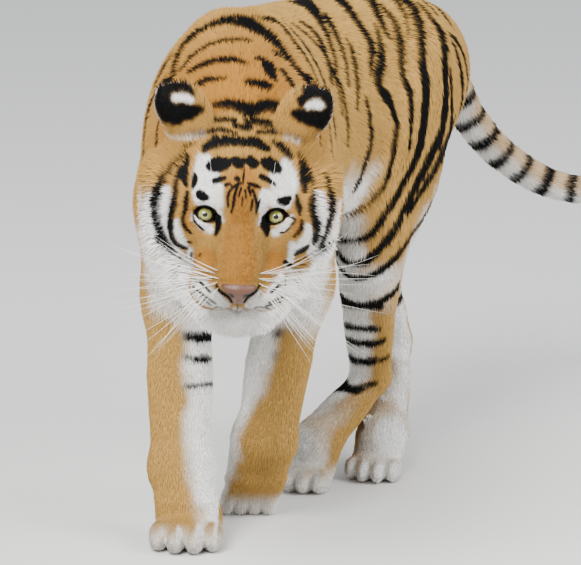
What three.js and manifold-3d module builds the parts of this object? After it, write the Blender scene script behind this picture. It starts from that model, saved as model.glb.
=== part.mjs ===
// A walking Amur tiger at life size: head low, right forepaw planted, left forepaw just lifting,
// hind quarters swung to its left. Millimetres, +Z up, nose towards -Y, its left flank towards +X.
// The body is one rounded volume of muscle masses and limb sweeps, parted by thin flat cuts.
import * as THREE from "three";
import { mergeVertices } from "three/addons/utils/BufferGeometryUtils.js";
import Module from "manifold-3d";

const wasm = await Module();
wasm.setup();

// ---- driving sizes -------------------------------------------------------------------------
const GAP = 0.3; // clear space between neighbouring pieces
const FAR = 1000; // field value well outside the animal
const EYE_SPACING = 124; // between the two pupils
const EYE_RADIUS = 19;
const EYE_DEPTH = -6; // centre of the eyeball ahead of the eye line is negative
const EYE_DROP = -2; // and its height above that line
const HEAD_AT = [11, -180, 733]; // midway between the eyes
const HEAD_PITCH = 27.5; // degrees the muzzle points below level
const HEAD_ROLL = 2.6;
const MUZZLE_LENGTH = 150; // eyes to nose tip along the palate
const WITHERS = 992; // height of the shoulder blades
const CHEEK = 172; // half width of the head over the side whiskers
const SKULL = 98; // half width of the brain case
const EAR = [44, 25, 58]; // half width, thickness and height of the ear's outer form
const EAR_CUP = [33, 25, 46]; // the hollow taken out of it
const ORBIT = [25, 20, 15]; // opening of the orbit in front of the eyeball
const FORE_PAW = 75; // half width over the toes
const HIND_PAW = 61;
const TRUNK_STEP = [65, 78, 62]; // facet sizes across, along and up
const LIMB_STEP = [37, 43, 67];
const HEAD_STEP = [28, 30, 28];
const PAW_STEP = [22, 28, 25];
const HOCK_STEP = [30, 34, 34];
const TAIL_STEP = [38, 32, 38];
const NOSE_STEP = [14, 14, 14];

/** Centre line of the trunk: x, y, z, half width, half height. */
const TRUNK = [
  [0, 150, 700, 102, 140], // front of the chest
  [0, 300, 730, 146, 232],
  [15, 450, 744, 168, 245], // girth behind the elbows
  [65, 620, 743, 182, 236],
  [140, 780, 747, 178, 219], // belly
  [215, 900, 764, 160, 194], // loin
  [285, 1000, 774, 156, 172], // hips
  [345, 1085, 766, 112, 138],
  [385, 1140, 762, 60, 82], // seat below the tail
];

/** Neck from the nape into the withers. */
const NECK = [
  [10, -40, 786, 124, 112],
  [6, 60, 800, 130, 138],
  [0, 180, 802, 138, 166],
  [0, 300, 800, 140, 176],
];

/** The tail hangs, sweeps out to the left and hooks up at the tip. */
const TAIL = [
  [360, 1110, 835, 46, 56],
  [405, 1185, 778, 40, 44],
  [470, 1270, 640, 36, 37],
  [545, 1330, 545, 35, 35],
  [640, 1370, 480, 33, 33],
  [735, 1385, 462, 31, 31],
  [815, 1370, 505, 29, 29],
  [845, 1345, 590, 26, 26],
  [825, 1330, 665, 17, 17],
];

/** Joint centres of the legs. */
const RIGHT_FORE = {
  side: -1,
  shoulder: [-112, 270, 650],
  elbow: [-114, 405, 450],
  wrist: [-108, 310, 140],
  paw: [-94, 245, 0],
  yaw: 6,
};
const LEFT_FORE = {
  side: 1,
  shoulder: [116, 285, 650],
  elbow: [112, 445, 462],
  wrist: [50, 420, 165],
  knuckles: [30, 455, 72],
  toes: [18, 480, 8],
};
const LEFT_HIND = {
  hip: [330, 915, 790],
  knee: [258, 712, 485],
  hock: [260, 794, 208],
  heelDrop: 16,
  paw: [134, 672, 0],
  yaw: 28,
};
const RIGHT_HIND = {
  hip: [205, 1015, 790],
  knee: [228, 888, 505],
  hock: [306, 964, 240],
  heelDrop: 18,
  paw: [271, 756, 0],
  yaw: 16,
};

// ---- small vector helpers --------------------------------------------------------------------
const vec = (a) => new THREE.Vector3(a[0], a[1], a[2]);
const lerp = (a, b, t) => a.map((value, i) => value + (b[i] - value) * t);
const shift = (a, b) => a.map((value, i) => value + b[i]);
const mirror = (a, side) => [a[0] * side, a[1], a[2]];

/** Smallest of two distances with a rounded inside corner of size k. */
function softMin(a, b, k) {
  const h = Math.max(k - Math.abs(a - b), 0) / k;
  return Math.min(a, b) - (h * h * k) / 4;
}

// ---- shapes ----------------------------------------------------------------------------------
/** An elliptical section carried along a smooth path; stations are x, y, z, half width, half height. */
class Sweep {
  constructor(stations, blend, side = null) {
    this.blend = blend;
    this.segments = [];
    const rows = Sweep.smooth(stations);
    for (let i = 0; i + 1 < rows.length; i += 1) {
      this.segments.push(Sweep.segment(rows[i], rows[i + 1], side));
    }
  }

  /** Catmull-Rom rows through the stations, four to each span. */
  static smooth(stations) {
    const first = lerp(stations[1], stations[0], 2);
    const last = lerp(stations[stations.length - 2], stations[stations.length - 1], 2);
    const all = [first, ...stations, last];
    const rows = [];
    const spans = 4;
    for (let i = 1; i + 2 < all.length; i += 1) {
      for (let j = 0; j < spans; j += 1) {
        const t = j / spans;
        rows.push(
          all[i].map((b, k) => {
            const a = all[i - 1][k];
            const c = all[i + 1][k];
            const d = all[i + 2][k];
            const square = (2 * a - 5 * b + 4 * c - d) * t * t;
            return 0.5 * (2 * b + (c - a) * t + square + (3 * b - a - 3 * c + d) * t * t * t);
          }),
        );
      }
    }
    rows.push(stations[stations.length - 1]);
    return rows;
  }

  static segment(from, to, side) {
    const start = vec(from);
    const along = vec(to).sub(start);
    const length = along.length();
    const axis = along.clone().normalize();
    const across = side ? vec(side) : new THREE.Vector3().crossVectors(axis, new THREE.Vector3(0, 0, 1));
    across.addScaledVector(axis, -across.dot(axis)).normalize();
    const widest = Math.max(from[3], from[4], to[3], to[4]);
    return { start, axis, length, across, from, to, widest };
  }

  /** Distance from the point, or FAR when the point cannot matter. */
  distance(x, y, z, limit) {
    let best = FAR;
    for (const s of this.segments) {
      const px = x - s.start.x;
      const py = y - s.start.y;
      const pz = z - s.start.z;
      const along = px * s.axis.x + py * s.axis.y + pz * s.axis.z;
      const clamped = Math.min(Math.max(along, 0), s.length);
      const cx = px - clamped * s.axis.x;
      const cy = py - clamped * s.axis.y;
      const cz = pz - clamped * s.axis.z;
      const square = cx * cx + cy * cy + cz * cz;
      const reach = s.widest + Math.min(limit, best);
      if (reach > 0 && square < reach * reach) {
        const t = clamped / s.length;
        const w = s.from[3] + (s.to[3] - s.from[3]) * t;
        const h = s.from[4] + (s.to[4] - s.from[4]) * t;
        const u = cx * s.across.x + cy * s.across.y + cz * s.across.z;
        const v2 = Math.max(square - u * u, 0);
        const k0 = Math.sqrt((u * u) / (w * w) + v2 / (h * h)) + 1e-9;
        const k1 = Math.sqrt((u * u) / w ** 4 + v2 / h ** 4) + 1e-12;
        best = Math.min(best, (k0 * (k0 - 1)) / k1);
      }
    }
    return best;
  }

  join(d, x, y, z) {
    return softMin(d, this.distance(x, y, z, Math.min(d, FAR / 4) + this.blend), this.blend);
  }
}

/** Rotation by yaw, pitch and roll in degrees. */
function turned([yaw, pitch, roll]) {
  const rad = THREE.MathUtils.degToRad;
  return new THREE.Matrix4().makeRotationFromEuler(new THREE.Euler(rad(pitch), rad(roll), rad(yaw), "ZXY"));
}

/** An ellipsoid mass; turn is yaw, pitch, roll in degrees. */
class Mass {
  constructor(centre, radii, blend, turn = [0, 0, 0]) {
    this.centre = centre;
    this.radii = radii;
    this.blend = blend;
    this.m = turned(turn).elements;
  }

  distance(x, y, z) {
    const px = x - this.centre[0];
    const py = y - this.centre[1];
    const pz = z - this.centre[2];
    const [a, b, c] = this.radii;
    const e = this.m;
    const qx = (px * e[0] + py * e[1] + pz * e[2]) / a;
    const qy = (px * e[4] + py * e[5] + pz * e[6]) / b;
    const qz = (px * e[8] + py * e[9] + pz * e[10]) / c;
    const k0 = Math.sqrt(qx * qx + qy * qy + qz * qz) + 1e-9;
    const k1 = Math.sqrt((qx / a) ** 2 + (qy / b) ** 2 + (qz / c) ** 2) + 1e-12;
    return (k0 * (k0 - 1)) / k1;
  }

  join(d, x, y, z) {
    return softMin(d, this.distance(x, y, z), this.blend);
  }
}

/** Shapes joined in turn into one field; optional frame carries them. */
class Field {
  constructor(shapes, frame = null) {
    this.shapes = shapes;
    this.inverse = frame ? frame.clone().invert().elements : null;
  }

  at(x, y, z) {
    const e = this.inverse;
    if (!e) {
      return this.walk(x, y, z);
    }
    return this.walk(
      e[0] * x + e[4] * y + e[8] * z + e[12],
      e[1] * x + e[5] * y + e[9] * z + e[13],
      e[2] * x + e[6] * y + e[10] * z + e[14],
    );
  }

  walk(x, y, z) {
    let d = FAR;
    for (const shape of this.shapes) {
      d = shape.join(d, x, y, z);
    }
    return d;
  }
}

/** Several fields in one, with a rounded joint between them. */
class Union {
  constructor(fields, blend) {
    this.fields = fields;
    this.blend = blend;
  }

  at(x, y, z) {
    return this.fields.map((f) => f.at(x, y, z)).reduce((a, b) => softMin(a, b, this.blend));
  }
}

// ---- facets from a field ---------------------------------------------------------------------
const CORNERS = [0, 1, 2, 3, 4, 5, 6, 7].map((n) => [n & 1, (n >> 1) & 1, (n >> 2) & 1]);

/** The six faces of a cell as rings of corners. */
const RINGS = [0, 1, 2].flatMap((axis) => {
  const u = 1 << (axis + 1) % 3;
  const v = 1 << (axis + 2) % 3;
  return [0, 1 << axis].map((base) => [base, base | u, base | u | v, base | v]);
});

/** Edge of a cell between two corners, as its lower corner times four plus its axis. */
function edgeBetween(a, b) {
  return (Math.min(a, b) << 2) + Math.log2(a ^ b);
}

/** The crossed edges of a cell gathered into rings, one for each sheet of surface in it. */
function crossedLoops(v) {
  const group = new Map();
  const join = (a, b) => {
    const from = group.get(a);
    const to = group.get(b);
    group.forEach((value, key) => group.set(key, value === from ? to : value));
  };
  const crossed = (a, b) => v[a] < 0 !== v[b] < 0;
  for (const ring of RINGS) {
    ring.forEach((a, n) => {
      const b = ring[(n + 1) % 4];
      const edge = edgeBetween(a, b);
      if (crossed(a, b) && !group.has(edge)) {
        group.set(edge, edge);
      }
    });
  }
  for (const ring of RINGS) {
    const sides = ring.map((a, n) => [a, ring[(n + 1) % 4]]).filter(([a, b]) => crossed(a, b));
    if (sides.length === 2) {
      join(edgeBetween(...sides[0]), edgeBetween(...sides[1]));
    } else if (sides.length === 4) {
      ring.forEach((a, n) => {
        if (v[a] < 0) {
          join(edgeBetween(a, ring[(n + 1) % 4]), edgeBetween(a, ring[(n + 3) % 4]));
        }
      });
    }
  }
  const loops = new Map();
  group.forEach((root, edge) => loops.set(root, [...(loops.get(root) ?? []), edge]));
  return [...loops.values()];
}

/** Closed facets where the field is zero, one vertex to each sheet in each crossed cell. */
class Facets {
  constructor(field, low, high, step) {
    this.field = field;
    this.low = low;
    this.step = step;
    this.count = low.map((value, i) => Math.ceil((high[i] - value) / step[i]) + 1);
    this.values = this.sample();
    this.ids = new Map();
    this.points = [];
    this.triangles = [];
    this.place();
    this.weave();
  }

  index(i, j, k) {
    return (i * this.count[1] + j) * this.count[2] + k;
  }

  sample() {
    const [nx, ny, nz] = this.count;
    const values = new Float64Array(nx * ny * nz);
    for (let i = 0; i < nx; i += 1) {
      for (let j = 0; j < ny; j += 1) {
        for (let k = 0; k < nz; k += 1) {
          const rim = i === 0 || j === 0 || k === 0 || i === nx - 1 || j === ny - 1 || k === nz - 1;
          const x = this.low[0] + i * this.step[0];
          const y = this.low[1] + j * this.step[1];
          const z = this.low[2] + k * this.step[2];
          const d = this.field.at(x, y, z);
          values[this.index(i, j, k)] = rim ? Math.max(d, 1) : d;
        }
      }
    }
    return values;
  }

  /** One point in each crossed cell, drawn onto the surface. */
  place() {
    for (let i = 0; i + 1 < this.count[0]; i += 1) {
      for (let j = 0; j + 1 < this.count[1]; j += 1) {
        for (let k = 0; k + 1 < this.count[2]; k += 1) {
          this.placeCell(i, j, k);
        }
      }
    }
  }

  placeCell(i, j, k) {
    const v = CORNERS.map((c) => this.values[this.index(i + c[0], j + c[1], k + c[2])]);
    const inside = v.filter((d) => d < 0).length;
    if (inside === 0 || inside === 8) {
      return;
    }
    const cell = [i, j, k];
    for (const loop of crossedLoops(v)) {
      const sum = [0, 0, 0];
      for (const edge of loop) {
        const a = edge >> 2;
        const axis = edge & 3;
        const t = v[a] / (v[a] - v[a | (1 << axis)]);
        CORNERS[a].forEach((value, n) => {
          sum[n] += value + (n === axis ? t : 0);
        });
      }
      const point = sum.map((value, n) => this.low[n] + (cell[n] + value / loop.length) * this.step[n]);
      for (const edge of loop) {
        this.ids.set(this.index(i, j, k) * 32 + edge, this.points.length);
      }
      this.points.push(this.onSurface(point));
    }
  }

  /** Two short steps down the slope of the field, never leaving the cell's neighbourhood. */
  onSurface(point) {
    const e = 1;
    const reach = 0.35 * Math.min(...this.step);
    let p = point;
    for (let n = 0; n < 2; n += 1) {
      const d = this.field.at(...p);
      const slope = [0, 1, 2].map((axis) => {
        const q = [...p];
        q[axis] += e;
        return (this.field.at(...q) - d) / e;
      });
      const square = slope[0] ** 2 + slope[1] ** 2 + slope[2] ** 2 + 1e-6;
      const move = Math.max(-reach, Math.min(reach, d / Math.sqrt(square)));
      p = p.map((value, axis) => value - (move * slope[axis]) / Math.sqrt(square));
    }
    return p;
  }

  /** Two triangles across each crossed grid edge. */
  weave() {
    for (let i = 0; i + 1 < this.count[0]; i += 1) {
      for (let j = 0; j + 1 < this.count[1]; j += 1) {
        for (let k = 0; k + 1 < this.count[2]; k += 1) {
          for (let axis = 0; axis < 3; axis += 1) {
            this.weaveEdge([i, j, k], axis);
          }
        }
      }
    }
  }

  weaveEdge(at, axis) {
    const next = [...at];
    next[axis] += 1;
    const here = this.values[this.index(...at)] < 0;
    if (here === this.values[this.index(...next)] < 0) {
      return;
    }
    const u = (axis + 1) % 3;
    const v = (axis + 2) % 3;
    if (at[u] === 0 || at[v] === 0) {
      return; // the rim of the grid lies outside
    }
    const cell = (du, dv) => {
      const c = [...at];
      c[u] -= du;
      c[v] -= dv;
      const corner = (du << u) | (dv << v);
      return this.ids.get(this.index(...c) * 32 + (corner << 2) + axis);
    };
    const loop = [cell(1, 1), cell(0, 1), cell(0, 0), cell(1, 0)];
    if (!here) {
      loop.reverse();
    }
    const gap = (a, b) => vec(this.points[loop[a]]).distanceTo(vec(this.points[loop[b]]));
    if (gap(0, 2) < gap(1, 3)) {
      this.triangles.push(loop[0], loop[1], loop[2], loop[0], loop[2], loop[3]);
    } else {
      this.triangles.push(loop[0], loop[1], loop[3], loop[1], loop[2], loop[3]);
    }
  }

  solid() {
    return toSolid(Float32Array.from(this.points.flat()), Uint32Array.from(this.triangles));
  }
}

function toSolid(vertProperties, triVerts) {
  const mesh = new wasm.Mesh({ numProp: 3, vertProperties, triVerts });
  mesh.merge();
  return new wasm.Manifold(mesh);
}

/** A solid of the field inside a box; step is a facet's size along each axis. */
function carve(field, low, high, step) {
  return new Facets(field, low, high, step).solid();
}

/** The corners of a box laid about a point. */
function about(point, low, high) {
  return [shift(point, low), shift(point, high)];
}

/** What lies ahead of a flat cut through the point, half a gap away from it. */
function ahead(solid, point, normal) {
  const n = vec(normal).normalize();
  return solid.trimByPlane([n.x, n.y, n.z], n.dot(vec(point)) + GAP / 2);
}

function behind(solid, point, normal) {
  return ahead(solid, point, normal.map((value) => -value));
}

// ---- head ------------------------------------------------------------------------------------
const HEAD_FRAME = new THREE.Matrix4()
  .makeTranslation(...HEAD_AT)
  .multiply(new THREE.Matrix4().makeRotationX(THREE.MathUtils.degToRad(HEAD_PITCH)))
  .multiply(new THREE.Matrix4().makeRotationY(THREE.MathUtils.degToRad(HEAD_ROLL)));
const ACROSS = [1, 0, 0];
const fromHead = (p) => vec(p).applyMatrix4(HEAD_FRAME).toArray();

/** Skull, bridge, muzzle and chin on the middle line; x across, y back, z up from the eyes. */
function headMiddle() {
  const nose = -MUZZLE_LENGTH;
  return [
    new Mass([0, 88, 8], [SKULL, 118, 86], 30),
    new Mass([0, 24, 10], [76, 60, 46], 34),
    new Sweep(
      [
        [0, 10, -6, 48, 34],
        [0, -50, -22, 44, 34],
        [0, nose + 45, -38, 41, 31],
        [0, nose + 22, -47, 36, 28],
      ],
      30,
      ACROSS,
    ),
    new Sweep(
      [
        [0, 30, -62, 92, 62],
        [0, -35, -72, 80, 50],
        [0, nose + 60, -84, 68, 42],
      ],
      34,
      ACROSS,
    ),
    new Sweep(
      [
        [0, nose + 50, -156, 43, 33],
        [0, -50, -151, 66, 43],
        [0, 30, -140, 108, 58],
      ],
      34,
      ACROSS,
    ),
  ];
}

/** Brow, cheek, whisker pad and the side whiskers of one side. */
function headSide(side) {
  return [
    new Mass(mirror([50, 12, 30], side), [34, 34, 22], 22),
    new Mass(mirror([84, 40, -44], side), [46, 74, 60], 40),
    new Mass(mirror([44, 46 - MUZZLE_LENGTH, -84], side), [45, 50, 37], 18),
    new Mass(mirror([CHEEK - 58, 112, -46], side), [56, 84, 88], 70, [-14 * side, 0, 10 * side]),
    new Mass(mirror([102, 98, -118], side), [58, 70, 62], 60),
    new Mass(mirror([98, 124, 66], side), [36, 34, 40], 40),
  ];
}

const earTilt = (side) => [-24 * side, -28, 32 * side];

/** Outer form of the ear, its back turned up and forward; margin grows it. */
function earBack(side, margin = 0) {
  const radii = EAR.map((size) => size + margin);
  return ellipsoid(mirror([110, 140, 120], side), radii, earTilt(side));
}

/** The cupped ear, open outward and down. */
function ear(side) {
  return earBack(side).subtract(ellipsoid(mirror([121, 165, 137], side), EAR_CUP, earTilt(side)));
}

const ball = (centre, radius) => ellipsoid(centre, [radius, radius, radius], [0, 0, 0]);

/** A faceted ellipsoid in the head frame. */
function ellipsoid(centre, radii, turn) {
  const ball = new THREE.SphereGeometry(1, 12, 7);
  ball.scale(...radii);
  ball.applyMatrix4(turned(turn));
  ball.translate(...centre);
  ball.applyMatrix4(HEAD_FRAME);
  return fromGeometry(ball);
}

/** Wedge of bare nose skin at the tip of the muzzle. */
function nosePad() {
  const tip = -MUZZLE_LENGTH;
  return new Field(
    [
      new Mass([0, tip + 5, -50], [32, 18, 12], 8),
      new Mass([0, tip + 3, -66], [14, 15, 21], 16),
    ],
    HEAD_FRAME,
  );
}

// ---- legs ------------------------------------------------------------------------------------
/** A rounded paw of four toes; centre on the floor, yaw turns the toes to the right of the animal. */
function pawShapes(centre, yaw, half, wrist, wristSize) {
  const turn = THREE.MathUtils.degToRad(yaw);
  const forward = [-Math.sin(turn), -Math.cos(turn), 0];
  const across = [Math.cos(turn), -Math.sin(turn), 0];
  const size = half / FORE_PAW;
  const up = [0, 0, 1];
  const at = (x, y, z) => centre.map((c, i) => c + across[i] * x + forward[i] * y + up[i] * z);
  const shapes = [
    new Sweep(
      [
        [...wrist, wristSize, wristSize * 0.86],
        [...lerp(wrist, at(0, -20 * size, 50 * size), 0.6), half * 0.84, 50 * size],
        [...at(0, -12 * size, 44 * size), half * 0.88, 42 * size],
        [...at(0, 28 * size, 34 * size), half * 0.8, 30 * size],
      ],
      30,
      across,
    ),
  ];
  shapes.push(new Mass(at(0, -24 * size, 20 * size), [half * 0.66, 36 * size, 26 * size], 14, [-yaw, 0, 0]));
  for (const [offset, reach] of [[-0.68, 26], [-0.24, 44], [0.24, 44], [0.68, 26]]) {
    const toe = at(offset * half, reach * size, 26 * size);
    shapes.push(new Mass(toe, [half * 0.29, 40 * size, 32 * size], 8, [-yaw, 0, 0]));
  }
  return shapes;
}

function shoulder(leg) {
  const { side } = leg;
  const [x, y, z] = leg.shoulder;
  return [
    new Sweep(
      [
        [side * 32, 385, WITHERS - 54, 48, 62],
        [side * 84, 330, 830, 60, 108],
        [x, y + 10, z + 20, 66, 96],
      ],
      70,
      ACROSS,
    ),
    new Sweep(
      [
        [x, y, z, 70, 90],
        [...lerp(leg.shoulder, leg.elbow, 0.5), 72, 90],
        [...leg.elbow, 66, 76],
      ],
      50,
      ACROSS,
    ),
    new Sweep(
      [
        [side * 112, 430, 720, 48, 88],
        [leg.elbow[0], leg.elbow[1] + 25, leg.elbow[2] + 75, 58, 80],
        [leg.elbow[0], leg.elbow[1] + 22, leg.elbow[2], 52, 56],
      ],
      50,
      ACROSS,
    ),
  ];
}

function forearm(leg) {
  const middle = lerp(leg.elbow, leg.wrist, 0.5);
  return new Sweep(
    [
      [...leg.elbow, 64, 72],
      [...shift(middle, [0, 10, 20]), 67, 66],
      [...lerp(leg.wrist, leg.elbow, 0.2), 62, 56],
      [...leg.wrist, 62, 54],
    ],
    40,
    ACROSS,
  );
}

function rightForeShapes() {
  const leg = RIGHT_FORE;
  return [...shoulder(leg), forearm(leg), ...pawShapes(leg.paw, leg.yaw, FORE_PAW, leg.wrist, 62)];
}

/** The left forepaw is bent back at the wrist and trails its toe tips on the floor. */
function leftForeShapes() {
  const leg = LEFT_FORE;
  const side = [1, -0.12, -0.1];
  const shapes = [
    ...shoulder(leg),
    forearm(leg),
    new Sweep(
      [
        [...leg.wrist, 62, 54],
        [...lerp(leg.wrist, leg.knuckles, 0.55), 63, 47],
        [...leg.knuckles, 60, 40],
      ],
      28,
      side,
    ),
    new Mass(shift(leg.wrist, [-44, 6, -36]), [20, 24, 28], 18),
  ];
  for (const [offset, lift] of [[-0.66, 7], [-0.22, 0], [0.22, 0], [0.66, 8]]) {
    const tip = shift(leg.toes, [offset * 62, -lift, lift + 6]);
    const root = shift(leg.knuckles, [offset * 52, 0, 0]);
    const rows = [
      [...root, 20, 32],
      [...lerp(root, tip, 0.5), 20, 31],
      [...tip, 17, 25],
    ];
    shapes.push(new Sweep(rows, 9, side));
  }
  return shapes;
}

/** One hind leg: thigh, ham, shank, hock and paw. */
function hindShapes(leg) {
  const out = [0.84, -0.54, 0];
  const down = [0.9, -0.43, 0];
  const { hip, knee, hock } = leg;
  const heel = shift(hock, [6, 16, -leg.heelDrop]);
  const ankle = shift(leg.paw, [16, 42, 84]);
  return [
    new Sweep(
      [
        [...hip, 76, 122],
        [...shift(lerp(hip, knee, 0.5), [12, 10, 0]), 84, 128],
        [...knee, 62, 80],
      ],
      60,
      out,
    ),
    new Sweep(
      [
        [...shift(hip, [20, 90, -60]), 68, 100],
        [...shift(lerp(hip, hock, 0.4), [12, 40, 0]), 60, 90],
        [...lerp(knee, hock, 0.36), 44, 44],
      ],
      50,
      out,
    ),
    new Sweep(
      [
        [...knee, 62, 72],
        [...shift(lerp(knee, hock, 0.5), [-4, 0, 10]), 60, 50],
        [...hock, 44, 40],
      ],
      40,
      down,
    ),
    new Sweep(
      [
        [...heel, 34, 38],
        [...lerp(heel, ankle, 0.5), 46, 42],
        [...ankle, 50, 42],
      ],
      26,
      down,
    ),
    ...pawShapes(leg.paw, leg.yaw, HIND_PAW, ankle, 46),
  ];
}

// ---- the whole body --------------------------------------------------------------------------
const trunkShapes = [new Sweep(TRUNK, 60, null), new Sweep(NECK, 70, null)];
const legs = {
  right_fore: rightForeShapes(),
  left_fore: leftForeShapes(),
  left_hind: hindShapes(LEFT_HIND),
  right_hind: hindShapes(RIGHT_HIND),
};
const tailShape = new Sweep(TAIL, 40, [0.3, 1, 0]);
const headField = new Field([...headMiddle(), ...headSide(-1), ...headSide(1)], HEAD_FRAME);

/** The trunk with the named legs; legs blend into the trunk but never into each other. */
function bodyWith(names, extra = []) {
  return new Union(
    names.map((name) => new Field([...trunkShapes, ...extra, ...legs[name]])),
    1,
  );
}

// ---- cuts between the named parts ------------------------------------------------------------
const CUTS = {
  nape: { at: [5, 12, 745], normal: [0, 0.95, 0.3] },
  throat: { at: [0, 178, 800], normal: [0, 0.8, -0.6] },
  girth: { at: [30, 548, 735], normal: [0.15, 0.99, 0] },
  flank: { at: [95, 683, 735], normal: [0.45, 0.89, 0] },
  haunch: { at: [250, 850, 588], normal: [0, 0.25, -0.97] },
  crotch: { at: [255, 880, 640], normal: [0.5, -0.87, 0.465] },
  shanks: { at: [262, 838, 362], normal: [0.03, 0.98, 0.16] },
  tailRoot: { at: [430, 1222, 720], normal: [0.37, 0.49, -0.79] },
};
const ARMPIT = { half: 40, top: 600, keel: 486 }; // block that parts a foreleg from the chest

const after = (solid, cut) => ahead(solid, cut.at, cut.normal);
const before = (solid, cut) => behind(solid, cut.at, cut.normal);

/** A cut square to the way from one joint to the next, a share of the way along. */
const jointCut = (from, to, share) => ({ at: lerp(from, to, share), normal: to.map((v, i) => v - from[i]) });

function block(low, high) {
  const size = low.map((value, i) => high[i] - value);
  const box = new THREE.BoxGeometry(...size);
  box.translate(...lerp(low, high, 0.5));
  return fromGeometry(box);
}

/** A closed solid from a three.js geometry, its seams merged. */
function fromGeometry(geometry) {
  const bare = new THREE.BufferGeometry().copy(geometry);
  bare.deleteAttribute("normal");
  bare.deleteAttribute("uv");
  const clean = mergeVertices(bare);
  const points = new Float32Array(clean.attributes.position.array);
  return toSolid(points, new Uint32Array(clean.index.array));
}

/** Room taken by one foreleg beside and below the chest, grown or shrunk by a margin. */
function foreRoom(side, margin) {
  const inner = ARMPIT.half - margin;
  const beside = block(
    [side > 0 ? inner : -FAR, -FAR, -FAR],
    [side > 0 ? FAR : -inner, CUTS.girth.at[1] + 60, ARMPIT.top + margin],
  );
  return beside.add(block([-FAR, -FAR, -FAR], [FAR, FAR, ARMPIT.keel + margin]));
}

/** Boxes that hold each part before it is cut, low and high corner. */
const ROOM = {
  head: [[-210, -390, 500], [230, 60, 990]],
  neck: [[-260, -120, 440], [260, 340, 1060]],
  chest: [[-300, -60, 400], [300, 640, 1100]],
  barrel: [[-260, 440, 400], [420, 880, 1040]],
  rump: [[-100, 560, 420], [560, 1340, 1060]],
  tail: [[300, 1080, 380], [920, 1460, 900]],
  right_fore: [[-240, 60, 60], [120, 640, 700]],
  left_fore: [[-100, 60, 60], [260, 640, 700]],
};
const FORE_PAW_ROOM = [[-130, -190], [120, 150]]; // about the wrist, seen from above
const HIND_LEG_ROOM = [[-260, -300], [200, 360]]; // about the hock
const HIND_PAW_ROOM = [[-260, -280], [110, 110]];

/** A box about a joint seen from above, between two heights. */
function roomAt(joint, plan, bottom, top) {
  const low = [joint[0] + plan[0][0], joint[1] + plan[0][1], bottom];
  const high = [joint[0] + plan[1][0], joint[1] + plan[1][1], top];
  return [low, high];
}

// ---- nodes -----------------------------------------------------------------------------------
const COAT = { color: 0xc98a45, roughness: 0.85 };
const PALE = { color: 0xe8e0d2, roughness: 0.85 };
const DARK = { color: 0x2b2320, roughness: 0.8 };
const NOSE = { color: 0xb07a68, roughness: 0.5 };
const IRIS = { color: 0xb9b069, roughness: 0.15 };

const tiger = new THREE.Group();
tiger.name = "amur_tiger";

function addNode(name, solid, look) {
  const mesh = solid.getMesh();
  const geometry = new THREE.BufferGeometry();
  geometry.setAttribute("position", new THREE.BufferAttribute(new Float32Array(mesh.vertProperties), 3));
  geometry.setIndex(new THREE.BufferAttribute(new Uint32Array(mesh.triVerts), 1));
  geometry.computeVertexNormals();
  const node = new THREE.Mesh(geometry, new THREE.MeshStandardMaterial(look));
  node.name = name;
  tiger.add(node);
}

/** Bare nose skin as a solid. */
function noseSolid() {
  const [low, high] = about(fromHead([0, -MUZZLE_LENGTH, -60]), [-50, -50, -50], [50, 50, 50]);
  return carve(nosePad(), low, high, NOSE_STEP);
}

/** A compact solid stretched about its middle until it stands out by the margin. */
function grown(solid, margin) {
  const { min, max } = solid.boundingBox();
  const middle = lerp([...min], [...max], 0.5);
  const factor = middle.map((value, i) => 1 + margin / (max[i] - value));
  return solid.translate(middle.map((value) => -value)).scale(factor).translate(middle);
}

/** Head, ears, eyes and nose. */
function addHead() {
  const field = new Union([headField, new Field(trunkShapes)], 50);
  let head = before(carve(field, ...ROOM.head, HEAD_STEP), CUTS.nape);
  for (const [name, side] of [["right", -1], ["left", 1]]) {
    head = head.subtract(earBack(side, GAP));
    addNode(`${name}_ear`, ear(side), DARK);
    const eyeAt = mirror([EYE_SPACING / 2, EYE_DEPTH, EYE_DROP], side);
    const orbitAt = mirror([EYE_SPACING / 2 + 1, EYE_DEPTH - EYE_RADIUS - 2, EYE_DROP + 8], side);
    head = head.subtract(ellipsoid(orbitAt, ORBIT, [-18 * side, -25, 0]));
    head = head.subtract(ball(eyeAt, EYE_RADIUS + GAP + 0.2));
    addNode(`${name}_eye`, ball(eyeAt, EYE_RADIUS), IRIS);
  }
  const nose = noseSolid();
  head = head.subtract(grown(nose, 2 * GAP));
  addNode("nose", nose, NOSE);
  addNode("head", head, COAT);
}

/** Neck, chest, barrel and rump. */
function addTrunk() {
  const fore = bodyWith(["right_fore", "left_fore"]);
  const front = new Union([fore, headField], 50);
  const neck = carve(front, ...ROOM.neck, TRUNK_STEP);
  addNode("neck", before(after(neck, CUTS.nape), CUTS.throat), COAT);
  let chest = carve(fore, ...ROOM.chest, TRUNK_STEP);
  chest = before(after(chest, CUTS.throat), CUTS.girth);
  chest = chest.subtract(foreRoom(1, GAP / 2)).subtract(foreRoom(-1, GAP / 2));
  addNode("chest", chest, COAT);
  const hind = bodyWith(["left_hind", "right_hind"], [tailShape]);
  const belly = carve(hind, ...ROOM.barrel, TRUNK_STEP);
  addNode("barrel", before(after(belly, CUTS.girth), CUTS.flank), PALE);
  let rump = carve(hind, ...ROOM.rump, TRUNK_STEP);
  rump = before(before(after(rump, CUTS.flank), CUTS.haunch), CUTS.tailRoot);
  addNode("rump", rump, COAT);
}

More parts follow.
